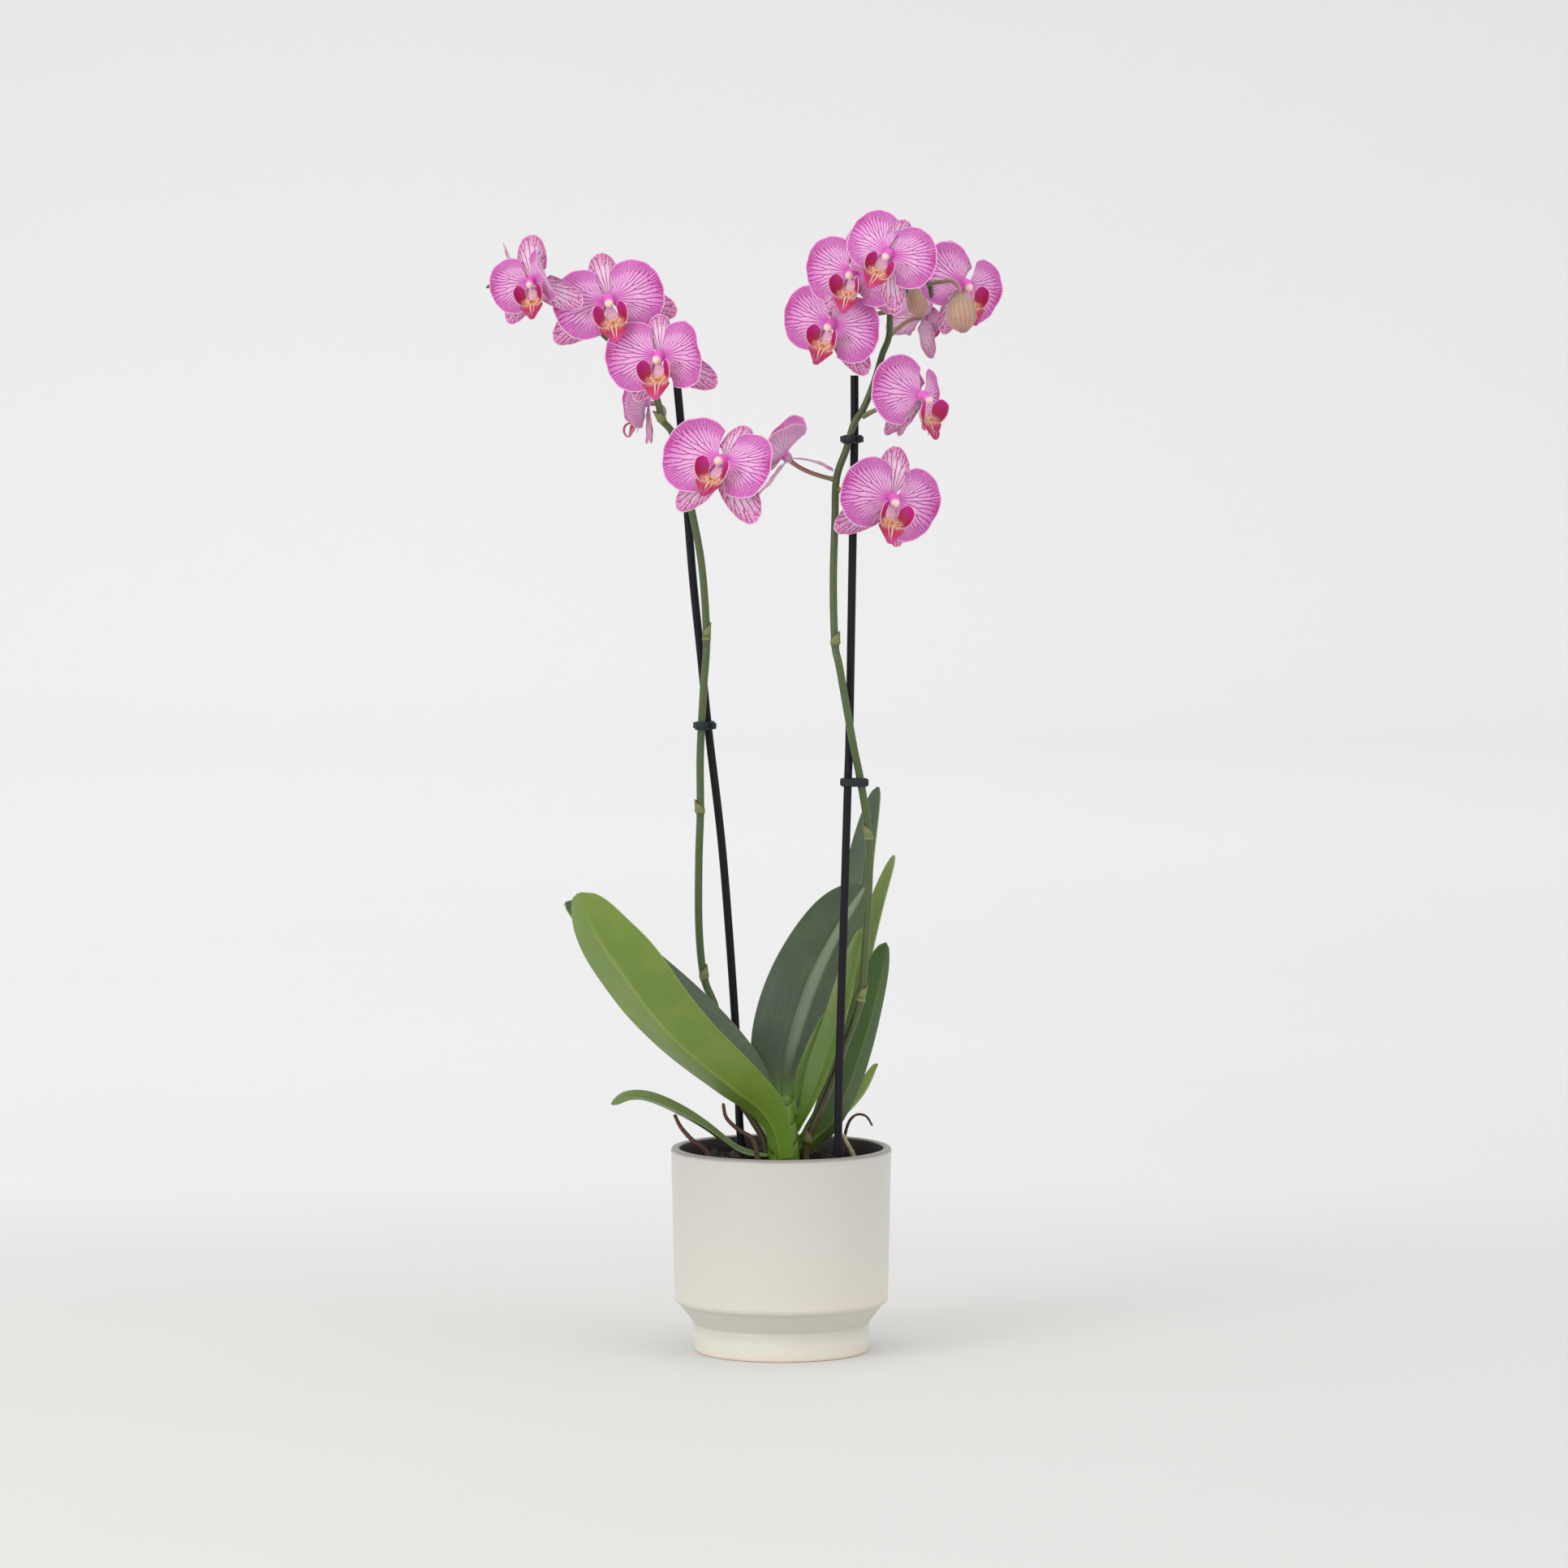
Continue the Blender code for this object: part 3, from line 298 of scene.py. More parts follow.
class Finish:
    """Short calls that build one material's nodes."""

    def __init__(self, name, roughness, **settings):
        self.material = bpy.data.materials.new(name)
        self.material.use_nodes = True
        self.nodes = self.material.node_tree.nodes
        self.links = self.material.node_tree.links
        self.surface = self.nodes["Principled BSDF"]
        self.surface.inputs["Roughness"].default_value = roughness
        for socket, value in settings.items():
            self.surface.inputs[socket.replace("_", " ")].default_value = value
        spread = self.node("ShaderNodeSeparateXYZ", self.value("ShaderNodeUVMap"))
        self.u, self.v = (Value(self, socket) for socket in spread.outputs[:2])
        self.place = self.value("ShaderNodeTexCoord", out="Object")

    def node(self, kind, *values, **settings):
        """A node with its properties set and its first inputs linked or filled."""
        node = self.nodes.new(kind)
        for key, value in settings.items():
            setattr(node, key, value)
        for socket, value in zip(node.inputs, values):
            self.put(socket, value)
        return node

    def value(self, kind, *values, out=0, **settings):
        """What a new node gives."""
        return Value(self, self.node(kind, *values, **settings).outputs[out])

    def put(self, socket, value):
        """Links or fills a socket, and turns three numbers into a colour."""
        if isinstance(value, Value):
            self.links.new(value.socket, socket)
        elif value is not None:
            socket.default_value = rgb(*value) if isinstance(value, tuple) else value

    def math(self, operation, *values):
        return self.value("ShaderNodeMath", *values, operation=operation)

    def most(self, first, second):
        return self.math("MAXIMUM", first, second)

    def step(self, value, low, high, start=0.0, end=1.0):
        """A smooth rise from start to end as the value goes from low to high."""
        return self.value("ShaderNodeMapRange", value, low, high, start, end,
                          interpolation_type="SMOOTHSTEP")

    def axis(self, number):
        return self.value("ShaderNodeSeparateXYZ", self.place, out=number)

    def spread(self, across, along):
        """A place on the sheet, u and v scaled."""
        return self.value("ShaderNodeCombineXYZ", self.u * across, self.v * along, 0.0)

    def noise(self, scale, detail=2.0, place=None):
        return self.value("ShaderNodeTexNoise", place or self.place, None, scale, detail, out="Fac")

    def streaks(self, across, along, detail=2.0):
        return self.noise(1.0, detail, self.spread(across, along))

    def cells(self, scale, feature="F1", place=None):
        return self.value("ShaderNodeTexVoronoi", place or self.place, None, scale, out="Distance",
                          feature=feature)

    def net(self, across, along):
        """Distance to the threads of an uneven net over the sheet."""
        return self.cells(1.0, "DISTANCE_TO_EDGE", self.spread(across, along))

    def ramp(self, value, *stops):
        """A colour that changes with a value, from (place, red, green, blue) stops."""
        node = self.node("ShaderNodeValToRGB", value)
        elements = node.color_ramp.elements
        while len(elements) < len(stops):
            elements.new(0.5)
        for element, (place, *colour) in zip(elements, stops):
            element.position = place
            element.color = rgb(*colour)
        return Value(self, node.outputs[0])

    def paint(self, colour, share):
        """Lays a colour over the one that is there, by a share of 0 to 1."""
        node = self.node("ShaderNodeMix", share, data_type="RGBA")
        self.put(node.inputs[6], self.colour)
        self.put(node.inputs[7], colour)
        self.colour = Value(self, node.outputs[2])

    def done(self, height=None, depth=0.0002, roughness=None):
        """Links the colour, the relief and the roughness, and returns the material."""
        self.put(self.surface.inputs["Base Color"], self.colour)
        self.put(self.surface.inputs["Roughness"], roughness)
        if height is not None:
            bump = self.node("ShaderNodeBump")
            bump.inputs["Distance"].default_value = depth
            self.put(bump.inputs["Height"], height)
            self.put(self.surface.inputs["Normal"], Value(self, bump.outputs[0]))
        return self.material


PETAL_SHEEN = dict(Sheen_Weight=0.2, Sheen_Roughness=0.4, Subsurface_Weight=0.12, Subsurface_Scale=0.002)
LIP_SHEEN = dict(Sheen_Weight=0.1, Sheen_Roughness=0.4)
LEAF_DEPTH = dict(Subsurface_Weight=0.05, Subsurface_Scale=0.003)


def vein_distance(f, count, splits, wobble):
    """Distance to the nearest vein, as a share of the space between the main ones.

    Veins run from claw to margin and fork at each (start, end) of splits, later in the
    middle of the petal than at its sides.
    """
    drift = (f.streaks(9, 3) - 0.5) * wobble + (f.streaks(46, 13) - 0.5) * (wobble * 0.34)
    cell = (f.u + drift) * count
    number = f.math("FLOOR", cell)
    luck = f.value("ShaderNodeTexWhiteNoise", None, number, out="Value", noise_dimensions="1D")
    v = f.v + (luck - 0.5) * 0.2 + (abs(f.u - 0.5) - 0.26) * 0.55
    away = abs(f.math("FRACT", cell) - 0.5)
    spread = 0.25
    for low, high in splits:
        away = abs(away - f.step(v, low, high, 0.0, spread))
        spread /= 2
    return away


def petal_finish(name, back=False):
    """A moth orchid petal: pale rays and forked purple veins over pink that deepens outwards."""
    f = Finish(name, 0.55, **PETAL_SHEEN)
    f.colour = f.ramp(f.v + (f.noise(160) - 0.5) * 0.16,
                      (0, 214, 70, 180), (0.12, 234, 118, 210), (0.26, 245, 166, 228),
                      (0.5, 248, 188, 235), (0.74, 240, 156, 224), (0.95, 226, 122, 206))
    away = vein_distance(f, 12, ((0.36, 0.5), (0.68, 0.84)), 0.034)
    main = f.step(away * (f.v * 4.6 + 0.2), 0.31, 0.11)
    side = abs(f.u - 0.5)
    strength = f.step(f.v, 0.08, 0.26, 0.25, 0.9) * (f.step(side, 0.36, 0.12) * 0.4 + 0.6)
    dots = f.step(f.streaks(150, 46, 1), 0.52, 0.63) * f.step(f.v, 0.2, 0.4) * 0.5
    net = f.step(f.net(44, 24), 0.16, 0.04) * f.step(f.v, 0.62, 0.86) * 0.5
    ink = f.ramp(f.v, (0.15, 172, 58, 150), (0.4, 132, 34, 112), (0.8, 142, 32, 118), (1, 168, 38, 140))
    f.paint((192, 62, 164), f.most(dots, net))
    f.paint(ink, main * strength)
    f.paint((190, 24, 132), f.step(side, 0.09, 0.01) * f.step(f.v, 0.8, 0.95) * 0.65)
    f.paint((248, 206, 236), f.step(f.v, 0.97, 0.99, 0.0, 0.8))
    if back:
        f.paint((222, 184, 214), 0.5)
    return f.done(main * -1, 0.00012)


def sepal_finish(name, back=False):
    """A sepal: paler, with bold lengthwise veins and a net between them towards its margin."""
    f = Finish(name, 0.55, **PETAL_SHEEN)
    f.colour = f.ramp(f.v, (0, 222, 120, 196), (0.2, 246, 198, 232), (0.6, 248, 206, 234),
                      (0.9, 236, 160, 214))
    vein = f.step(vein_distance(f, 8, ((0.62, 0.78), (0.84, 0.94)), 0.03) * (f.v * 4.4 + 0.4), 0.36, 0.1)
    side = f.step(abs(f.u - 0.5), 0.1, 0.32)
    net = f.step(f.net(15, 21), 0.1, 0.02) * f.most(side, f.step(f.v, 0.55, 0.8))
    ink = f.ramp(f.v, (0.2, 124, 30, 96), (0.7, 128, 20, 90), (1, 158, 24, 106))
    f.paint(ink, f.most(vein, net * 0.72) * f.step(f.v, 0.06, 0.3, 0.25, 0.92))
    f.paint((246, 204, 232), f.step(f.v, 0.97, 0.99, 0.0, 0.8))
    if back:
        f.paint((206, 168, 190), 0.3)
    return f.done(vein * -1, 0.00012)


def column_finish():
    """The column: pale at the back of the hub, with a magenta hood and a cream cap in front."""
    f = Finish("column", 0.4, Subsurface_Weight=0.15, Subsurface_Scale=0.002)
    cloud = f.noise(700)
    f.colour = f.ramp(f.v + cloud * 0.04, (0, 166, 148, 112), (0.3, 214, 178, 204), (0.5, 226, 112, 200),
                      (0.7, 222, 84, 184), (0.82, 234, 150, 206), (0.88, 250, 222, 212),
                      (1, 250, 218, 200))
    return f.done(cloud, 0.0001)


def lobe_finish():
    """The lip's side lobes: cream whiskers at the foot, crimson above, magenta at the top."""
    f = Finish("lip_lobe", 0.45, **LIP_SHEEN)
    f.colour = f.ramp(f.v + (f.noise(260) - 0.5) * 0.2, (0, 240, 176, 116), (0.12, 190, 36, 56),
                      (0.38, 164, 8, 54), (0.6, 178, 6, 92), (1, 196, 18, 146))
    f.paint((253, 222, 186), f.step(f.streaks(20, 4), 0.47, 0.55) * f.step(f.v, 0.42, 0.14))
    rim = f.most(f.step(abs(f.u - 0.5), 0.465, 0.492), f.step(f.v, 0.975, 0.995))
    f.paint((246, 190, 222), rim * 0.7)
    return f.done(f.noise(1500), 0.00008)


def plate_finish():
    """The lip's middle: pale and spotted below the column, cream rays, then a crimson arrowhead."""
    f = Finish("lip_plate", 0.42, **LIP_SHEEN)
    f.colour = f.ramp(f.v, (0, 240, 186, 222), (0.3, 246, 200, 214), (0.44, 252, 220, 180),
                      (0.56, 214, 96, 70), (0.66, 170, 18, 48), (0.84, 188, 20, 84), (1, 206, 56, 142))
    f.paint((158, 48, 116), f.step(f.streaks(16, 40), 0.52, 0.6) * f.step(f.v, 0.46, 0.38))
    rays = f.streaks(30, 7)
    reach = f.step(f.v, 0.42, 0.5) * f.step(f.v, 0.82, 0.6)
    f.paint((253, 226, 192), f.step(rays, 0.44, 0.53) * reach)
    f.paint((206, 110, 44), f.step(rays, 0.66, 0.72) * reach * 0.8)
    across = abs(f.u - 0.5)
    stripe = f.step(abs(across - 0.08), 0.04, 0.016)
    f.paint((250, 204, 200), stripe * f.step(f.v, 0.52, 0.56) * f.step(f.v, 0.98, 0.84) * 0.8)
    f.paint((126, 10, 44), f.step(across, 0.03, 0.014) * f.step(f.v, 0.6, 0.66) * 0.6)
    return f.done(f.noise(1500), 0.00008)


def callus_finish():
    """The callus: cream and orange with small brown-red spots."""
    f = Finish("callus", 0.35, Coat_Weight=0.3)
    f.colour = (240, 168, 92)
    f.paint((253, 226, 180), f.step(f.noise(600), 0.4, 0.6))
    spots = f.step(f.cells(900), 0.3, 0.2)
    f.paint((160, 62, 34), f.most(spots * 0.7, f.step(f.v, 0.8, 0.95) * 0.7))
    return f.done()


def tendril_finish():
    f = Finish("tendril", 0.4)
    f.colour = f.ramp(f.v, (0, 200, 60, 120), (0.5, 176, 96, 112), (1, 226, 176, 190))
    return f.done()


def leaf_finish(name, base, pale, rib_strength, roughness, coat, painted_sheen=0.0):
    """A leaf face: fine lengthwise lines, a midrib, soft blotches and a yellower edge.

    A painted sheen is a pale band along one side of the midrib, standing in for a reflection.
    """
    f = Finish(name, roughness, Coat_Weight=coat, Coat_Roughness=0.22, **LEAF_DEPTH)
    across = abs(f.u - 0.5)
    lines = f.streaks(90, 3, 3)
    blotches = f.noise(38, 3)
    f.colour = base
    f.paint(pale, f.step(lines, 0.35, 0.7) * 0.3)
    f.paint(pale, f.step(blotches, 0.42, 0.7) * 0.4)
    if painted_sheen:
        # Painted reflection: a pale band beside the midrib
        f.paint((150, 166, 138), f.step(abs(f.u - 0.59), 0.11, 0.04) * f.step(f.v, 0.15, 0.4) * painted_sheen)
    f.paint((160, 176, 92), f.step(across, 0.035, 0.004) * f.step(f.v, 1.0, 0.85) * rib_strength)
    f.paint((150, 164, 84), f.step(across, 0.488, 0.499) * 0.45)
    f.paint((102, 144, 34), f.step(f.v, 0.3, 0.02) * 0.85)
    specks = f.step(f.cells(260), 0.1, 0.05)
    f.paint((168, 178, 110), specks * f.step(blotches, 0.5, 0.6) * 0.3)
    return f.done(lines + f.noise(700) * 0.4, 0.00018, blotches * 0.14 + (roughness - 0.06))


def crown_finish():
    """The crown: bright green sheaths, with painted shade where one comes out of the next, and painted light
    up each sheath towards its top.
    """
    f = Finish("crown", 0.4, Coat_Weight=0.2, Coat_Roughness=0.25, **LEAF_DEPTH)
    climb = f.math("SINE", f.u * math.tau) * SHEATH_SLOPE
    step = f.math("FRACT", f.v * SHEATHS + climb)
    lines = f.streaks(60, 3, 3)
    # Painted shade in the recess at the foot of each sheath, lightening up the sheath towards its top
    f.colour = f.ramp(step, (0, 38, 56, 18), (0.08, 76, 106, 26), (0.4, 98, 138, 30), (1, 116, 150, 44))
    f.paint((84, 112, 34), lines * 0.35)
    return f.done(lines, 0.00015)


def stem_finish():
    """A flower stem: green, browner low down and below each node, where u is 1."""
    f = Finish("stem", 0.42, Coat_Weight=0.15)
    patches = f.noise(60, 3)
    f.colour = (58, 80, 34)
    f.paint((82, 100, 50), patches)
    low = f.step(f.axis(2), 0.22, 0.15) * 0.75
    f.paint((86, 64, 46), f.most(low, f.step(patches, 0.52, 0.8) * 0.5))
    f.paint((96, 70, 48), f.step(f.u, 0.1, 0.6) * 0.35)
    f.paint((138, 152, 84), f.step(f.u, 0.75, 0.98) * 0.8)
    f.paint((140, 150, 100), f.step(f.noise(900, 1), 0.66, 0.72) * 0.35)
    return f.done(f.noise(500), 0.00012)


def stalk_finish():
    f = Finish("stalk", 0.45)
    f.colour = f.ramp(f.v, (0, 110, 124, 66), (0.4, 160, 132, 104), (1, 196, 140, 150))
    f.paint((120, 90, 70), f.noise(300) * 0.4)
    return f.done()


def bract_finish():
    f = Finish("bract", 0.6)
    lines = f.streaks(30, 2)
    f.colour = f.ramp(f.v, (0, 110, 128, 66), (0.5, 140, 142, 92), (0.9, 128, 104, 72), (1, 166, 150, 116))
    f.paint((104, 84, 56), lines * 0.4)
    return f.done(lines, 0.0001)


def bud_finish():
    """A closed bud: tan-pink with greenish-brown lengthwise stripes."""
    f = Finish("bud", 0.45, Sheen_Weight=0.2)
    stripes = abs(f.math("SINE", f.u * (math.tau * 9) + f.streaks(6, 4) * 1.6))
    f.colour = f.ramp(f.v, (0, 146, 136, 92), (0.35, 186, 152, 124), (0.8, 190, 144, 130),
                      (1, 160, 122, 104))
    f.paint((144, 92, 88), f.step(stripes, 0.55, 0.05) * 0.6)
    return f.done(stripes, 0.00015)


def glaze_finish():
    """Cream glaze: greyer at the top, peach where it thins, brownish on the rim, speckled."""
    f = Finish("pot_glaze", 0.38, Coat_Weight=0.2, Coat_Roughness=0.3)
    level = f.axis(2) / POT_HEIGHT
    cloud = f.noise(26, 4)
    f.colour = f.ramp(level + (cloud - 0.5) * 0.04, (0, 238, 222, 204), (0.03, 235, 230, 216),
                      (0.08, 231, 229, 217), (0.14, 209, 207, 196), (0.24, 205, 204, 194),
                      (0.27, 224, 219, 206), (0.34, 220, 217, 205), (0.55, 216, 213, 204),
                      (0.97, 208, 205, 200))
    f.paint((122, 115, 109), f.step(level, 0.978, 0.995, 0.0, 0.8))
    specks = f.step(f.cells(420), 0.13, 0.07)
    f.paint((150, 138, 122), specks * f.step(f.noise(120, 1), 0.5, 0.62) * 0.3)
    fine = f.noise(1, 2, f.value("ShaderNodeCombineXYZ", f.u * 420, level * 60, 0))
    f.paint((190, 188, 184), f.step(fine, 0.4, 0.75) * 0.16)
    f.paint((232, 208, 192), f.step(f.noise(14), 0.52, 0.68) * f.step(level, 0.62, 0.3) * 0.14)
    relief = cloud * 1.5 + f.noise(260) * 0.5 + fine * 0.25
    return f.done(relief, 0.0003, f.noise(90) * 0.16 + 0.32)


def pot_inside_finish():
    f = Finish("pot_inside", 0.55)
    level = f.axis(2) / POT_HEIGHT + f.noise(60) * 0.03
    # Painted shade: the inside wall is near black deep in the pot and lighter towards the rim, as shade falls
    # into it
    f.colour = f.ramp(level, (0.9, 38, 34, 35), (0.99, 76, 70, 70))
    return f.done(f.noise(300), 0.0003)


def plastic_finish(name, colour, light, roughness, scale):
    f = Finish(name, roughness, Specular_IOR_Level=0.2)
    grain = f.noise(scale, 3)
    f.colour = colour
    f.paint(light, grain)
    return f.done(grain, 0.00015)


def bark_finish():
    """Bark chips: layered dark brown, where u is each chip's own tone."""
    f = Finish("bark_chip", 0.9)
    layers = f.noise(420, 4)
    f.colour = f.ramp(f.u, (0, 20, 17, 18), (0.6, 32, 26, 25), (0.9, 50, 38, 32), (1, 84, 66, 52))
    f.paint((24, 19, 18), f.step(layers, 0.4, 0.7) * 0.6)
    return f.done(layers, 0.0008)


def root_finish(name, first, last):
    f = Finish(name, 0.75)
    blotches = f.noise(320, 3)
    f.colour = f.ramp(f.v, (0, *first), (1, *last))
    f.paint((70, 48, 38), blotches * 0.5)
    return f.done(blotches, 0.0003)


PETAL_SLOTS = [petal_finish("petal_front"), petal_finish("petal_back", True), sepal_finish("sepal_front"),
               sepal_finish("sepal_back", True), column_finish()]
LIP_SLOTS = [plate_finish(), lobe_finish(), callus_finish(), tendril_finish()]
LEAF_UPPER = leaf_finish("leaf_upper", (48, 74, 40), (80, 101, 64), 0.2, 0.32, 0.4)
LEAF_UNDER = leaf_finish("leaf_under", (102, 132, 42), (130, 151, 60), 0.4, 0.46, 0.15)
LEAF_SHADED = leaf_finish("leaf_shaded", (48, 80, 16), (64, 98, 28), 0.15, 0.6, 0.0)
# leaf_4's upper side, with a pale band of painted reflection beside its midrib
LEAF_WITH_PAINTED_SHEEN = leaf_finish("leaf_with_painted_sheen", (42, 66, 34), (72, 96, 54), 0.1, 0.34, 0.3, 0.5)
# Painted light: a young leaf's colour made much paler, to make up for the shade leaf_6 gets as it faces away
# from the lamps
LEAF_PAINTED_LIGHT = leaf_finish("leaf_painted_light", (150, 170, 104), (172, 188, 126), 0.2, 0.5, 0.1)
LEAF_YOUNG = leaf_finish("leaf_young", (94, 124, 44), (118, 142, 62), 0.3, 0.42, 0.2)

# Upper and under side of each leaf that differs from the plain ones
LEAF_SLOTS = {"leaf_3": [LEAF_YOUNG, LEAF_UPPER], "leaf_4": [LEAF_WITH_PAINTED_SHEEN, LEAF_UNDER],
              "leaf_6": [LEAF_PAINTED_LIGHT, LEAF_PAINTED_LIGHT], "leaf_7": [LEAF_SHADED, LEAF_SHADED],
              "leaf_9": [LEAF_YOUNG, LEAF_YOUNG], "leaf_10": [LEAF_YOUNG, LEAF_YOUNG]}
PLAIN_LEAF_SLOTS = [LEAF_UPPER, LEAF_UNDER]
STEM_SLOTS = [stem_finish(), stalk_finish(), bract_finish()]


# Blooms

ORGANS = {
    "dorsal": dict(angle=90, sweep=7, curl=6, cup=0.10, wave=0.0006, phase=0.4, size=1.0),
    "left": dict(angle=180, sweep=4, curl=8, cup=-0.10, wave=0.0011, phase=0.0, size=1.0),
    "right": dict(angle=0, sweep=4, curl=8, cup=-0.10, wave=0.0011, phase=1.3, size=1.0),
    "low_left": dict(angle=216, sweep=12, curl=4, cup=0.10, wave=0.0006, phase=2.0, size=1.0),
    "low_right": dict(angle=-36, sweep=12, curl=4, cup=0.10, wave=0.0006, phase=3.1, size=1.0),
}

# Outline of each kind of organ: length, breadth, how far round its margin runs below and
# above its axis in degrees, claw width, how narrow it starts, and height over the hub's centre
PETAL = (PETAL_LENGTH, PETAL_BREADTH, 112, 128, 0.0034, 0.38, 0.0008)
DORSAL = (SEPAL_LENGTH, SEPAL_BREADTH, 112, 112, 0.0032, 0.62, -0.0016)
LOW_SEPAL = (LOW_SEPAL_LENGTH, SEPAL_BREADTH, 112, 112, 0.0032, 0.62, -0.0016)
OUTLINES = {"dorsal": DORSAL, "left": PETAL, "right": PETAL, "low_left": LOW_SEPAL,
            "low_right": LOW_SEPAL}


def fan_points(s, t, length, breadth, low, high, claw, pinch):
    """Points of a flat petal along +X: t runs from claw to margin, s fans out across it."""
    centre = 0.46 * length
    turn = np.radians(-low + (low + high) * s)
    edge_x = centre + (length - centre) * np.cos(turn)
    edge_y = breadth / 2 * np.sin(turn)
    first, second, third = (1 - t) ** 2, 2 * t * (1 - t), t * t
    x = first * ORGAN_ROOT + second * (0.5 * edge_x + 0.08 * length) + third * edge_x
    y = first * (s - 0.5) * claw + second * pinch * edge_y + third * edge_y
    return x, y


def bent(x, y, s, t, length, form):
    """Leans a flat petal back by its sweep, curls it forward, cups it and waves its margin."""
    start = -math.radians(form["sweep"])
    rate = math.radians(form["curl"]) / length
    wave = form["wave"] * t**3 * np.sin(form["phase"] + 11.0 * s)
    frill = 0.5 * form["wave"] * t**6 * np.sin(form["phase"] * 3 + 31.0 * s)
    crease = -0.0005 * hill(s - 0.5, 0.05) * np.sin(math.pi * t)
    lift = form["cup"] * y * y / length + wave + frill + crease
    turn = start + rate * x
    along = (np.sin(turn) - math.sin(start)) / rate
    rise = (math.cos(start) - np.cos(turn)) / rate
    return along - lift * np.sin(turn), y, rise + lift * np.cos(turn)


def organ_part(name, form):
    """One petal or sepal in its bloom's own frame."""
    length, breadth, low, high, claw, pinch, rise = OUTLINES[name]
    length, breadth = length * form["size"], breadth * form["size"]
    turn = math.radians(form["angle"])
    petal = name in ("left", "right")
    side = -1 if name in ("left", "low_left") else 1
    s, t = grid(*PETAL_GRID) if petal else grid(*SEPAL_GRID)
    x, y = fan_points(s, t, length, breadth, low, high, claw, pinch)
    ruffle = 1 + 0.010 * t**5 * np.sin(5 * form["phase"] + 19.0 * s) * np.sin(2.0 + 37.0 * s)
    x, y, z = bent(x * ruffle, y * ruffle, s, t, length, form)
    y = y * side
    points = np.stack([x * math.cos(turn) - y * math.sin(turn), x * math.sin(turn) + y * math.cos(turn),
                       z + rise], -1)
    thickness = 0.0007 - 0.0004 * t
    upper = 0 if petal else 2
    part = sheet(points, thickness, (s, t), upper, upper + 1)
    return part if side == 1 else swapped(part, upper)


def swapped(part, upper):
    """The same part with front and back materials exchanged."""
    places, faces, uvs, slots = part
    return places, faces, uvs, 2 * upper + 1 - slots


def column_part():
    """The hub where all petals meet, with the column and its cap in front."""
    path = mm((0, 0, -3.8), (0, 0, -2.4), (0, 0.2, 1.3), (0, -1.9, 4.5), (0, -4.1, 7.6))
    t = np.linspace(0, 1, 32)
    radii = between(mm(1.5, 3.2, 3.5, 3.0, 2.1), t, 0.08) * np.sqrt(np.clip((1.02 - t) / 0.12, 0, 1))
    return tube(curve(path, t), radii, COLUMN_SIDES, 4)


LIP_PATH = mm((0, -4.4, 1.6), (0, -10.5, 2.2), (0, -14.4, 4.0), (0, -18.2, 6.8), (0, -26.6, 11.0))
LIP_WIDTHS = mm(1.6, 4.4, 4.6, 9.2, 1.4)
LIP_DROOP = (0.0, -0.2, -0.3, 0.28, 0.1)
LOBE_PATH = mm((2.4, -15.4, 4.8), (5.8, -14.2, 5.6), (8.2, -10.8, 6.8), (8.6, -6.4, 8.0), (7.6, -2.0, 9.0))
LOBE_WIDTHS = mm(1.6, 4.0, 5.2, 5.4, 3.6)
LOBE_FACING = np.array((-0.74, 0.12, 0.66))
LOBE_CUP = 0.3


def plate_part():
    """The lip's claw and its arrowhead mid-lobe."""
    s, t = grid(*PLATE_GRID)
    span = (2 * s - 1)[..., None]
    width = between(LIP_WIDTHS, t, 0.05)[..., None]
    front = np.cross((1, 0, 0), heading(LIP_PATH, t))
    droop = between(LIP_DROOP, t, 0.08)[..., None] * width * span**2
    ridge = 0.0005 * hill(span, 0.12) * smooth_step(t, 0.5, 0.7)[..., None]
    points = curve(LIP_PATH, t) + span * width * (1, 0, 0) + front * (ridge - droop)
    return sheet(points, 0.0009 - 0.0004 * t, (s, t))


def lobe_part():
    """The right side lobe, a cupped upright ear beside the column."""
    s, t = grid(*LOBE_GRID)
    span = (2 * s - 1)[..., None]
    across = unit(np.cross(heading(LOBE_PATH, t), LOBE_FACING))
    tip = np.sqrt(np.clip((1.0 - t) / 0.2, 0.03, 1))
    width = (between(LOBE_WIDTHS, t, 0.08) * np.where(t > 0.8, 0.6 + 0.4 * tip, 1.0) * tip**0.5)[..., None]
    points = curve(LOBE_PATH, t) + across * span * width + LOBE_FACING * LOBE_CUP * width * span**2
    return sheet(points, 0.0008 - 0.0003 * t, (s, t), 1, 1)


def callus_part():
    """The two-knobbed callus where the lobes meet."""
    turns, rise = grid(*CALLUS_GRID)
    around = turns * math.tau
    radius = np.sqrt(1 - rise**2)
    knobs = 1 + 0.35 * np.abs(np.cos(around)) * rise
    centre = curve(LIP_PATH, np.array(0.5))
    points = np.stack([0.0026 * radius * np.cos(around), 0.0019 * radius * np.sin(around),
                       0.0030 * rise * knobs], -1) + centre
    return sheet(points, 0.0002, (turns, rise), 2, 2)


def tendril_part(reach):
    """A filament from the lip's tip that curls forward and up."""
    t = np.linspace(0, 1, 40)
    turn = np.radians(-70 + 280 * t)
    ring = 0.0034 * reach * (1 - 0.4 * t)
    points = np.stack([0.0004 + 0.0030 * t * reach, -0.0266 + ring * np.sin(turn) + 0.0032 * reach,
                       0.0100 + ring * np.cos(turn)], -1)
    return tube(points, np.linspace(0.0006, 0.00025, 40), 8, 3)


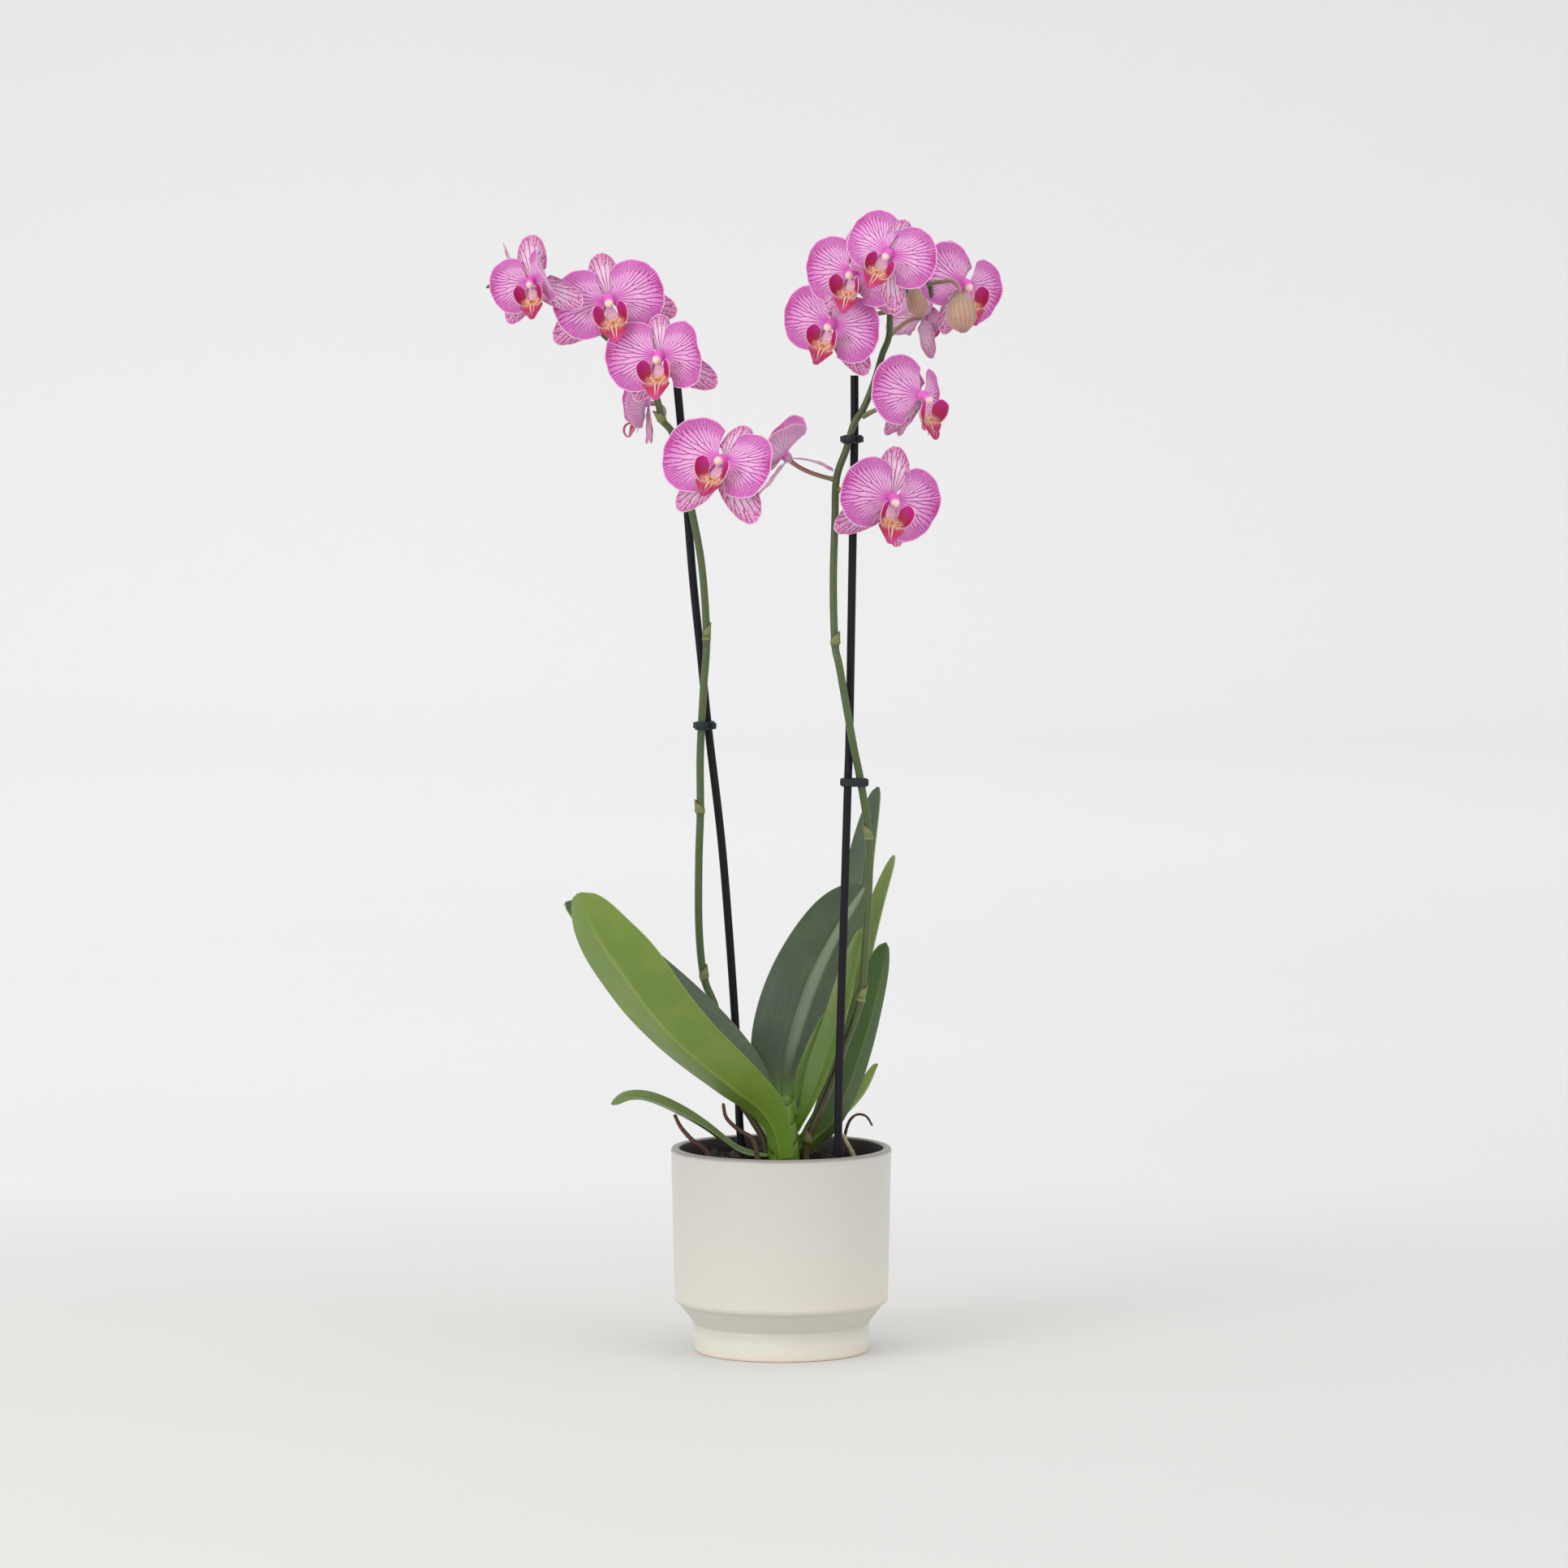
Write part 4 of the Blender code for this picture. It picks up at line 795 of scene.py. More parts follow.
def bloom_matrix(place, yaw, pitch, roll, size):
    """The bloom's frame: X to its right, Y up, Z out of its face."""
    yaw, pitch, roll = math.radians(yaw), math.radians(pitch), math.radians(roll)
    face = Vector((math.sin(yaw) * math.cos(pitch), -math.cos(yaw) * math.cos(pitch), math.sin(pitch)))
    right = Vector((math.cos(yaw), math.sin(yaw), 0))
    turned = Matrix((right, face.cross(right), face)).transposed().to_4x4()
    matrix = Matrix.Translation(Vector(mm(*place))) @ turned
    return matrix @ Matrix.Rotation(roll, 4, "Z") @ Matrix.Scale(size, 4)


# Each bloom: place of its centre in mm, yaw, pitch and roll in degrees, size, the point of the
# spike that its stalk grows from, and what differs from a plain bloom. Yaw 0 faces -Y, and a
# reach gives the lip its two tendrils.
BLOOMS = [
    ("bloom_l1", (-152, -44, 663), -16, 0, 8, 0.86, (-140, -20, 655), dict(
        right=dict(curl=96, sweep=-8, angle=14, size=0.92), left=dict(angle=186, size=0.92),
        low_right=dict(angle=-31, sweep=0, size=1.05), low_left=dict(angle=228, size=0.92),
        dorsal=dict(angle=84, size=1.15), reach=0.8)),
    ("bloom_l2", (-164, 5, 665), -95, -12, 0, 0.92, (-145, -20, 656), dict(
        dorsal=dict(sweep=-8, size=0.85), left=dict(sweep=8, size=0.6), right=dict(sweep=8, size=0.6),
        low_right=dict(size=0.6))),
    ("bloom_l3", (-105, -46, 652), -3, 0, 12, 1.0, (-108, -18, 629), dict(
        low_right=dict(angle=-22, size=1.08), low_left=dict(angle=205, size=1.1))),
    ("bloom_l4", (-74, -55, 618), -20, 0, 3, 1.0, (-83, -17, 606), dict(
        dorsal=dict(size=0.88), left=dict(curl=20), right=dict(curl=44, size=0.96),
        low_right=dict(angle=-30), low_left=dict(angle=232, size=0.85))),
    ("bloom_l5", (-83, -3, 588), -75, 5, 0, 0.82, (-73, -15, 578), dict(
        right=dict(sweep=-5, curl=84, angle=-6, size=0.85), left=dict(sweep=-20, angle=176, size=0.85),
        dorsal=dict(sweep=10, size=0.9),
        low_right=dict(angle=-75, size=0.8, sweep=2), low_left=dict(angle=255, size=0.8, sweep=14),
        reach=1.8)),
    ("bloom_l6", (-36, -46, 554), -18, 22, -12, 1.04, (-61, -14, 552), dict(
        dorsal=dict(angle=72, size=0.9), left=dict(size=1.1), right=dict(curl=20, size=0.96),
        low_left=dict(angle=238), low_right=dict(angle=-46, size=1.08), reach=1.0)),
    ("bloom_r1", (3, -10, 555), -95, 42, 0, 0.95, (34, -14, 541), dict(
        dorsal=dict(sweep=43, curl=-40, size=1.08), left=dict(angle=172, sweep=-26, size=1.08),
        right=dict(sweep=-15, size=1.15),
        low_left=dict(angle=246, sweep=4, size=0.95), low_right=dict(angle=-66, sweep=4, size=0.95))),
    ("bloom_r2", (68, -46, 531), 22, -4, -12, 1.02, (34, -14, 535), dict(
        dorsal=dict(angle=97, size=1.08), left=dict(angle=177), right=dict(angle=-7, sweep=20, size=1.06),
        low_left=dict(angle=222), low_right=dict(angle=-64, size=0.8))),
    ("bloom_r3", (86, -36, 593), 48, 0, 0, 0.98, (50, -14, 580), dict(
        left=dict(sweep=26, angle=163, size=1.04), right=dict(sweep=28, angle=-12, size=0.92),
        dorsal=dict(sweep=34, angle=96), low_left=dict(sweep=34, angle=240, size=0.82),
        low_right=dict(sweep=44, angle=-72, size=0.9), reach=1.0)),
    ("bloom_r4", (31, -30, 637), -24, 0, -15, 0.95, (67, -16, 645), dict(
        low_left=dict(angle=225, size=0.72), low_right=dict(angle=-42), reach=1.0)),
    ("bloom_r5", (44, -46, 669), -28, 0, -5, 0.95, (68, -16, 650), dict(
        low_left=dict(angle=236, sweep=-2, size=0.8))),
    ("bloom_r6", (65, -72, 680), -12, 0, -28, 0.88, (78, -18, 658), dict(
        dorsal=dict(size=0.9), left=dict(sweep=20, angle=166), right=dict(angle=17),
        low_left=dict(size=0.75, angle=225), low_right=dict(angle=-58),
        via=((80, -40, 668), (80, -58, 678)))),
    ("bloom_r7", (113, 4, 661), 27, 0, 4, 0.95, (71, -17, 653), dict(
        via=((82, -3, 656), (97, 7, 660)),
        dorsal=dict(sweep=20, angle=102, size=1.05), left=dict(angle=150, sweep=10),
        right=dict(angle=-26, sweep=22), low_left=dict(angle=250, sweep=20, size=0.9),
        low_right=dict(angle=-54, sweep=36, size=0.9), reach=0.8)),
    ("bloom_r8", (88, 28, 640), 132, 0, 22, 0.74, (66, -15, 629), dict(left=dict(size=0.6))),
]


def bloom(name, place, yaw, pitch, roll, size, node, tweaks):
    """A bloom's petals with the column, and its lip."""
    matrix = bloom_matrix(place, yaw, pitch, roll, size)
    parts = [column_part()]
    for organ, defaults in ORGANS.items():
        parts.append(organ_part(organ, {**defaults, **tweaks.get(organ, {})}))
    piece(name + "_petals_fine", [placed(part, matrix) for part in parts], PETAL_SLOTS, "petal",
          name + "_petals")
    parts = [plate_part(), lobe_part(), flipped(lobe_part()), callus_part()]
    if tweaks.get("reach"):
        parts += [tendril_part(tweaks["reach"]), flipped(tendril_part(tweaks["reach"]))]
    piece(name + "_lip_fine", [placed(part, matrix) for part in parts], LIP_SLOTS, "lip", name + "_lip")


# Stems, stalks and buds

LEFT_SPIKE = mm(
    (-8, 4, 104), (-10, 6, 128), (-18, 9, 143), (-25, 10, 155), (-33, 10, 183), (-41, 9, 213),
    (-48, 8, 232), (-51, 5, 263), (-51, 2, 305), (-50, 0, 336), (-50, -3, 372), (-48, -6, 411),
    (-46, -9, 444), (-49, -11, 489), (-56, -13, 527), (-61, -14, 552), (-67, -14, 570),
    (-73, -15, 578), (-76, -16, 590), (-82, -17, 605), (-93, -18, 618), (-103, -18, 625),
    (-125, -20, 644), (-145, -20, 656), (-171, -19, 661), (-181, -18, 659),
)
RIGHT_SPIKE = mm(
    (14.5, -7, 104), (15, -7, 119), (16.5, -7, 132), (29, -8, 163), (40, -9, 193), (49, -10, 220),
    (52, -11, 256), (54, -13, 291), (54, -15, 321), (49, -17.4, 355), (44, -22.5, 380),
    (36, -22.5, 425), (33, -20, 441), (32, -17, 477), (33, -15, 517), (34, -14, 542),
    (40, -14, 560), (44.5, -14, 575), (51, -14, 586), (57, -14, 601), (62, -15, 618), (66, -15, 629),
    (67, -16, 646), (71, -17, 653), (78, -18, 658), (87, -20, 663), (91, -21, 660), (92, -22, 652),
)

# Which points of each spike are its nodes, where a bract clasps it
SPIKE_NODES = {"spike_left": (3, 6, 9, 12, 17), "spike_right": (2, 5, 8, 12)}
SPIKE_RADIUS, SPIKE_TIP_RADIUS, NODE_SWELL = 0.0024, 0.0015, 1.3
STALK_REACH = 0.011  # how far behind a bloom its stalk bends into line with it
STALK_END = 0.004  # the straight end of a stalk that is led past other pieces
HUB_BACK = 0.0038  # from a bloom's centre to the back of its hub

# Each bud: its stalk from the spike in mm, then the middle and the end of the bud, its radius
BUDS = [
    ("bud_1", ((86, -20, 662), (82, -28, 665.5), (78.2, -33.7, 663), (79.5, -34.5, 659)),
     (83, -36, 649), (85, -37, 641), 6.4),
    ("bud_2", ((90, -21, 661), (97, -35, 662.5), (104.5, -46, 663), (108.2, -50, 659), (108.5, -51, 655)),
     (109.5, -54, 643), (111, -55, 632), 9.3),
]


def stem_parts(path, nodes):
    """The stem with a swelling and a bract at each node."""
    t = np.linspace(0, 1, len(path) * 12)
    points = curve(path, t)
    lengths = np.cumsum([0, *np.linalg.norm(np.diff(points, axis=0), axis=1)])
    places = np.interp(np.array(nodes) / (len(path) - 1), t, lengths)
    near = sum(hill(lengths - place, 0.0035) for place in places)
    swell = sum(hill(lengths - place, 0.0016) for place in places)
    radii = SPIKE_RADIUS - (SPIKE_RADIUS - SPIKE_TIP_RADIUS) * t**3
    radii = radii * (1 + (NODE_SWELL - 1) * swell)
    radii[-6:] *= np.sqrt(np.linspace(1, 0.02, 6))
    parts = [tube(points, radii, STEM_SIDES, 0, np.clip(near, 0, 1))]
    for turn, k in enumerate(np.searchsorted(lengths, places)):
        parts.append(bract(points[k], unit(points[k + 3] - points[k - 3]), radii[k], turn))
    return parts


def bract(place, ahead, radius, turn):
    """A dry scale that clasps the stem just above a node, on alternate sides."""
    side = unit(np.cross(ahead, (0, 1, 0)))
    other = np.cross(ahead, side)
    s, t = grid(*BRACT_GRID)
    angle = math.pi * turn + (2 * s - 1) * math.radians(140) * (1 - 0.86 * t**1.8)
    out = radius * 1.03 + 0.0002 + 0.0004 * t**2
    around = np.cos(angle)[..., None] * side + np.sin(angle)[..., None] * other
    rise = ahead * (0.0080 * t - 0.0010)[..., None]
    return sheet(place + around * out[..., None] + rise, 0.0003, (s, t), 2, 2)


def stalk_part(place, yaw, pitch, roll, size, node, via):
    """A flower stalk from its node on the spike to just behind a bloom's hub."""
    matrix = bloom_matrix(place, yaw, pitch, roll, size)
    out = np.array((matrix.to_3x3() @ Vector((0, 0, -1))).normalized())
    end = np.array(matrix @ Vector((0, 0, -HUB_BACK))) + out * CLEAR
    start = mm(*node)
    t = np.linspace(0, 1, 32)
    if via:
        points = curve([start, *mm(*via), end + out * STALK_END, end], t)
    else:
        u = t[:, None]
        points = (1 - u) ** 2 * start + 2 * u * (1 - u) * (end + out * STALK_REACH) + u * u * end
    radii = PEDICEL_RADIUS * (1 + 0.35 * hill(t, 0.08) + 0.15 * smooth_step(t, 0.85, 1))
    return tube(points, radii, STALK_SIDES, 1)


def spike(name, path):
    letter = name.split("_")[1][0]
    parts = stem_parts(path, SPIKE_NODES[name])
    for bloom_name, *turn, tweaks in BLOOMS:
        if bloom_name[6] == letter:
            parts.append(stalk_part(*turn, tweaks.get("via")))
    if name == "spike_right":
        t = np.linspace(0, 1, STALK_STEPS)
        for _, points, *_ in BUDS:
            parts.append(tube(curve(mm(*points), t), [PEDICEL_RADIUS] * STALK_STEPS, STALK_SIDES, 1))
    piece(name + "_fine", parts, STEM_SLOTS, "stem", name)


def bud(name, stalk_points, middle, end, radius):
    """A closed bud: an egg with a blunt point and three shallow seams."""
    top, middle, end = mm(*stalk_points[-1]), mm(*middle), mm(*end)
    t = np.linspace(0, 1, BUD_STEPS)
    bow = np.sin(math.pi * t)[:, None]
    path = top + (end - top) * t[:, None] + (middle - (top + end) / 2) * bow
    shares = np.interp(t, (0, 0.14, 0.36, 0.62, 0.86, 1), (0.25, 0.66, 0.96, 1.0, 0.66, 0.16))
    shares = np.convolve(np.pad(shares, 2, mode="edge"), np.ones(5) / 5, "valid")
    places, *rest = tube(path, radius / 1000 * shares, BUD_SIDES)
    centres = np.pad(path, ((1, 1), (0, 0)), mode="edge").repeat(BUD_SIDES, axis=0)
    seam = 1 - 0.06 * hill(np.sin(1.5 * np.tile(circle(BUD_SIDES), BUD_STEPS + 2)), 0.22)
    places = centres + (places - centres) * seam[:, None]
    piece(name + "_fine", [(places, *rest)], [BUD_FINISH], "bud", name)


# Stakes and clips

LEFT_STAKE = mm((-24, 20, 96), (-24, 20, 120), (-26, 19, 140), (-28, 18, 193), (-36, 11, 305),
                (-45, 2, 386), (-50, 0, 436), (-55, -2, 486), (-61, -6, 566), (-64, -8, 600))
RIGHT_STAKE = mm((35, -26, 96), (35, -26, 125), (36, -24, 187), (39, -20, 287), (41, -17, 354),
                 (42, -16, 387), (44, -12, 507), (45, -9, 566), (45, -8, 605))

# Each clip: the stake and the stem that it holds together, its height and its tabs' length in mm
CLIPS = [
    ("clip_left", LEFT_STAKE, LEFT_SPIKE, 389, 4),
    ("clip_right_low", RIGHT_STAKE, RIGHT_SPIKE, 355, 1),
    ("clip_right_high", RIGHT_STAKE, RIGHT_SPIKE, 566, 4),
]
CLIP_HEIGHT, CLIP_WALL, CLIP_BEVEL, CLIP_TAB_WIDTH = 0.0050, 0.0010, 0.00025, 0.0024
CLIP_REACH = STAKE_RADIUS * 1.1 + CLEAR * 2  # from a stake's axis to the inside of the band
CLIMB = 19  # the first points of both spikes, up to where they stop rising steeply


def stake(name, path):
    points = curve(path, np.linspace(0, 1, STAKE_STEPS))
    rod = tube(points, [STAKE_RADIUS] * STAKE_STEPS, STAKE_SIDES)
    piece(name + "_fine", [rod], [STAKE_FINISH], "stake", name)


def at_height(path, height):
    return np.array([np.interp(height, path[:, 2], path[:, axis]) for axis in range(3)])


def gap_at(stake_path, stem_path, height):
    """Halfway between stake and stem at a height, and the way from stake to stem."""
    stake_place, stem_place = at_height(stake_path, height), at_height(stem_path, height)
    return (stem_place + stake_place) / 2, stem_place - stake_place


def clip_band(stake_path, stem_path, height, axis, side, half):
    """A band with bevelled edges round stake and stem, leaning with both."""
    turns = circle(CLIP_SIDES)[:, None]
    shift = np.where(np.cos(turns) > 0, half, -half)
    edge = CLIP_WALL - CLIP_BEVEL
    outline = [(0, -0.4), (CLIP_BEVEL, -0.5), (edge, -0.5), (CLIP_WALL, -0.4), (CLIP_WALL, 0.4),
               (edge, 0.5), (CLIP_BEVEL, 0.5), (0, 0.4), (0, -0.4)]
    rings = []
    for extra, level in outline:
        middle = gap_at(stake_path, stem_path, height + CLIP_HEIGHT * level)[0]
        radius = CLIP_REACH + extra
        rings.append(middle + axis * (shift + radius * np.cos(turns)) + side * (radius * np.sin(turns)))
    flat = np.zeros(len(rings) * CLIP_SIDES)
    return ring_part(rings, flat, flat)


def clip_tab(root, out, across, length):
    """A small plate that sticks out of the band."""
    s, t = grid(*TAB_GRID)
    width = (CLIP_TAB_WIDTH * (s - 0.5) * np.where(t < 0.8, 0.8, 1.0))[..., None]
    return sheet(root + out * (length * t)[..., None] + across * width, CLIP_HEIGHT * 0.72, (s, t))


def clip(name, stake_path, stem_path, height, tab):
    """A band round stake and stem, with a tab to the left and the right."""
    stem_path = stem_path[:CLIMB]
    height = height / 1000
    middle, axis = gap_at(stake_path, stem_path, height)
    half = np.linalg.norm(axis) / 2
    axis = unit(axis)
    side = np.array((-axis[1], axis[0], 0))
    parts = [clip_band(stake_path, stem_path, height, axis, side, half)]
    # The tabs go left and right, whichever way the stem lies from the stake
    out, across, start = (axis, side, half) if abs(axis[0]) > 0.7 else (side, -axis, 0)
    for way in (-out, out):
        root = middle + way * (start + CLIP_REACH + CLIP_WALL * 0.4)
        parts.append(clip_tab(root, way, across, tab / 1000))
    piece(name + "_fine", parts, [CLIP_FINISH], "clip", name)


# Crown, leaves and roots

CROWN_PATH = mm((2, -9, 104), (2, -9, 118), (1, -9, 132), (2, -7, 146), (4, -4, 160))
CROWN_RADII = mm(8.0, 9.5, 9.8, 8.0, 5.0)
SHEATHS, SHEATH_SLOPE = 4.0, 0.6  # sheaths up the crown, and how far their edges climb round it

# Each air root, in mm from its tip down into the bark, and its radius
ROOTS = [
    ("root_1", ((-66, -22, 150), (-62, -22, 142), (-55, -22, 134), (-46, -20, 126), (-42, -20, 112)), 1.8),
    ("root_2", ((-36, -14, 156), (-34, -14, 147), (-27, -15, 140), (-18, -17, 134), (-15, -20, 124),
                (-15, -21, 112)), 1.8),
    ("root_3", ((57, 33, 136), (53, 33, 142), (47, 33, 143), (42, 32, 138), (39, 31, 126), (38, 31, 112)),
     1.1),
    ("root_4", ((38, 8, 134), (41, 8, 128), (45, 8, 120), (46, 8, 112)), 1.8),
]

# Each leaf: midrib from base to tip in mm, half width, the way its upper side faces, its fold
# in degrees and where along it the leaf is widest
LEAVES = [
    ("leaf_1", ((0, -20.2, 122), (-4, -21.5, 140), (-13, -25, 154), (-31, -33, 169), (-58, -46, 193),
                (-79, -58, 217), (-98, -70, 245), (-112, -76, 267), (-123, -80, 292)),
     30, (0.5, 0.75, 0.45), 18, 0.72),
    ("leaf_2", ((-5, -5, 142), (-12, -8, 160), (-26.5, -11, 180), (-53, -14, 207.5), (-82, -18, 234.5),
                (-108, -22, 259), (-133, -25, 281)), 18, (0.45, -0.7, 0.5), 18, 0.6),
    ("leaf_3", ((-7.5, -7, 122), (-17, -9, 123), (-28, -13, 127), (-46, -20, 141), (-64, -26, 152),
                (-81, -31, 160), (-94, -34, 162), (-104, -36, 158)), 9, (0.3, -0.2, 0.9), 15, 0.6),
    ("leaf_4", ((1.5, 0, 151), (0, 9, 168), (6, 18, 196), (18, 28, 230), (35, 40, 262), (52, 46, 285)),
     26, (-0.4, -0.9, 0.25), 14, 0.5),
    ("leaf_5", ((5, -0.5, 140), (11, 10, 151), (24, 29, 178), (37, 47, 210), (45, 59, 250), (51, 67, 285),
                (55, 71, 313), (61, 74, 345)), 16, (-0.75, -0.6, 0.2), 22, 0.6),
    ("leaf_6", ((4, 1.5, 133), (16, 23, 150), (38, 48, 190), (49, 64, 224), (57, 74, 254), (64, 80, 279),
                (71, 84, 301)), 8, (-0.6, -0.7, 0.3), 22, 0.5),
    ("leaf_7", ((9, -3, 126), (19, 4, 131), (31, 10, 142), (41, 16, 163), (49, 21, 185), (56, 25, 208),
                (61.5, 28, 230), (65, 30, 251)), 20, (-0.7, 0.65, 0.3), 18, 0.5),
    ("leaf_8", ((4, 1, 124), (13, 15, 125), (24, 29, 130), (36, 38, 140), (50, 46, 155), (60, 50, 173)),
     10, (-0.6, 0.5, 0.5), 20, 0.5),
    ("leaf_9", ((10, -8, 138), (22.5, -10, 167), (34.5, -7.5, 201), (43, -1, 235), (50, 4, 262)),
     10.5, (-0.6, -0.75, 0.3), 32, 0.4),
    ("leaf_10", ((9, -5, 156), (12, -3.5, 168), (17, -2, 183), (23, 0.5, 198), (28, 2.5, 209)),
     4.5, (-0.2, -0.95, 0.3), 30, 0.4),
]

# A leaf's width at its base, as a share of its full one, and how slowly it widens from there
LEAF_BASE = {"leaf_1": (0.28, 1.5)}
PLAIN_LEAF_BASE = (0.2, 1.0)
FOLD_SOFTNESS = 0.012


def leaf_width(t, base, widest, rise):
    """Share of a leaf's half width at t along it, from the share at its base."""
    rising = base + (1 - base) * np.sin(0.5 * math.pi * np.minimum(t / widest, 1)) ** rise
    u = np.clip((t - widest) / (1 - widest), 0, 1)
    return np.where(t < widest, rising, 0.05 + 0.95 * np.sqrt(1 - u**1.7))


def leaf(name, midrib, half_width, faces_to, fold, widest):
    """A strap leaf: a folded blade, thick along its groove and thin at its edges."""
    path, faces_to, fold = mm(*midrib), np.array(faces_to), math.radians(fold)
    s, t = grid(*LEAF_GRID)
    ahead = heading(path, t)
    upper = unit(faces_to - (ahead @ faces_to)[..., None] * ahead)
    side = np.cross(ahead, upper)
    base, rise = LEAF_BASE.get(name, PLAIN_LEAF_BASE)
    width = half_width / 1000 * leaf_width(t, base, widest, rise)
    span = 2 * s - 1
    rounded_fold = np.sqrt(span**2 + FOLD_SOFTNESS) - math.sqrt(FOLD_SOFTNESS)
    ripple = 0.0007 * np.abs(span) ** 3 * np.sin(9 * t + len(name) + half_width) * smooth_step(t, 0.2, 0.5)
    groove = -0.0006 * hill(span, 0.05) * smooth_step(t, 1.0, 0.8)
    lift = width * rounded_fold * math.sin(fold) + ripple + groove
    points = curve(path, t) + (width * span * math.cos(fold))[..., None] * side + lift[..., None] * upper
    part = sheet(points, 0.0017 * (1 - 0.62 * np.abs(span) ** 2.5), (s, t), 0, 1)
    i, k = LEAF_GRID[0] // 2, LEAF_GRID[1] // 2
    facing = np.cross(points[i, k + 1] - points[i, k], points[i + 1, k] - points[i, k]) @ upper[i, k] > 0
    slots = LEAF_SLOTS.get(name, PLAIN_LEAF_SLOTS)
    piece(name + "_fine", [part if facing else swapped(part, 0)], slots, "leaf", name)


def crown():
    """The short stem that all leaves grow from, clasped by the sheaths of leaves left and right."""
    t = np.linspace(0, 1, CROWN_STEPS)
    radii = between(CROWN_RADII, t, 0.08)
    radii[-4:] *= np.linspace(0.9, 0.3, 4)
    places, faces, uvs, slots = tube(curve(CROWN_PATH, t), radii, CROWN_SIDES)
    centres = places.reshape(-1, CROWN_SIDES, 3).mean(axis=1).repeat(CROWN_SIDES, axis=0)
    step = (SHEATHS * uvs[:, 1] + SHEATH_SLOPE * np.sin(uvs[:, 0] * math.tau)) % 1.0
    swell = (0.94 + 0.07 * smooth_step(step, 0.0, 0.12))[:, None]
    places = centres * (1 - swell) + places * swell
    piece("crown_fine", [(places, faces, uvs, slots)], [crown_finish()], "leaf", "crown")


ROOT_TIP = 0.6  # share of its radius that a root keeps at its tip


def root(name, points, radius):
    t = np.linspace(0, 1, ROOT_STEPS)
    draw = random.Random(name)
    bumps = np.array([1 + draw.uniform(-0.1, 0.1) for _ in t])
    radii = np.interp(t, (0, 1), (ROOT_TIP, 1.0)) * radius / 1000 * bumps
    radii[0] *= 0.3
    finish = STUB_FINISH if name == "root_4" else ROOT_FINISH
    piece(name + "_fine", [tube(curve(mm(*points), t), radii, ROOT_SIDES)], [finish], "root", name)


# Pot, liner and bark


def near(radius, height, *shifts):
    """Corners of a pot's outline round one of its places, as shifts in mm."""
    return [(radius + out / 1000, height + up / 1000) for out, up in shifts]


def pot():
    """The glazed outer pot, turned, with a rolled shoulder and a crease above its foot."""
    top = (POT_RADIUS - POT_WALL / 2, POT_HEIGHT)
    outside = rounded([
        (0, 0), *near(POT_FOOT_RADIUS, 0, (-0.8, 0), (0, 1.0)),
        *near(POT_NECK_RADIUS, POT_NECK_Z, (0.2, -1.4), (-0.6, 0), (0.8, 1.6)),
        *near(POT_SHOULDER_RADIUS, POT_SHOULDER_Z, (-4.2, -5.2), (-3.4, -3.8), (-0.6, -2.0), (0.1, 0)),
        *near(POT_RADIUS, POT_HEIGHT, (-0.3, -4.0), (0, -2.2), (-0.6, 0)), top], 0.0012)
    inside = rounded([
        top, (POT_RADIUS - POT_WALL, POT_HEIGHT), (POT_SHOULDER_RADIUS - POT_WALL, POT_SHOULDER_Z),
        (POT_NECK_RADIUS - POT_WALL, POT_NECK_Z), (POT_FOOT_RADIUS - POT_WALL, POT_FLOOR),
        (0, POT_FLOOR)], 0.0022)
    places, faces, uvs, slots = lathe(outside + inside[1:], POT_SIDES)
    slots[(len(outside) + 3) * POT_SIDES:] = 1
    piece("pot_fine", [(places, faces, uvs, slots)], [glaze_finish(), pot_inside_finish()], "glaze", "pot")


def nursery_pot():
    base = POT_FLOOR + CLEAR
    edge = LINER_TOP_RADIUS - LINER_RIM
    profile = rounded([
        (0, base), (LINER_BASE_RADIUS, base), (edge, LINER_TOP_Z - LINER_RIM_HEIGHT - LINER_RIM / 3),
        (LINER_TOP_RADIUS, LINER_TOP_Z - LINER_RIM_HEIGHT), (LINER_TOP_RADIUS, LINER_TOP_Z),
        (edge - LINER_WALL, LINER_TOP_Z), (LINER_BASE_RADIUS - LINER_WALL, base + LINER_WALL),
        (0, base + LINER_WALL)], 0.0004, 4)
    finish = plastic_finish("liner", (26, 26, 28), (46, 44, 44), 0.45, 240)
    piece("nursery_pot_fine", [lathe(profile, LINER_SIDES)], [finish], "nursery_plastic", "nursery_pot")


def chip(draw, centre, size):
    """One bark chip: a jagged, flattened lump."""
    around, up = CHIP_GRID
    s, t = grid(around, up)
    turns, rise = s * math.tau, (t - 0.5) * math.pi
    rough = np.array([[1 + draw.uniform(-0.28, 0.28) for _ in range(up)] for _ in range(around)])
    rough[-1] = rough[0]
    rough[:, 0] = rough[:, -1] = 1
    square = np.abs(np.cos(rise)) ** 0.4 * rough
    points = np.stack([square * np.cos(turns), square * np.sin(turns), np.sin(rise) * rough], -1) * size
    turn = Matrix.Rotation(draw.uniform(0, math.tau), 3, "Z") @ Matrix.Rotation(draw.gauss(0, 0.45), 3, "X")
    turn = turn @ Matrix.Rotation(draw.gauss(0, 0.35), 3, "Y")
    places = points.reshape(-1, 3) @ np.array(turn).T + centre
    faces = faces_between(np.arange(len(places)).reshape(around, up))
    return places, outward(places, faces), np.full((len(places), 2), draw.random()), np.zeros(len(faces), int)


CHIP_COUNT, PALE_EVERY = 430, 30

# Where something stands in the bark, in mm: no chip goes there
STANDING = [(-10, 5), (15, -7), (-24, 20), (35, -26), (2, -9), (-42, -20), (-15, -20), (38, 19), (46, 8)]


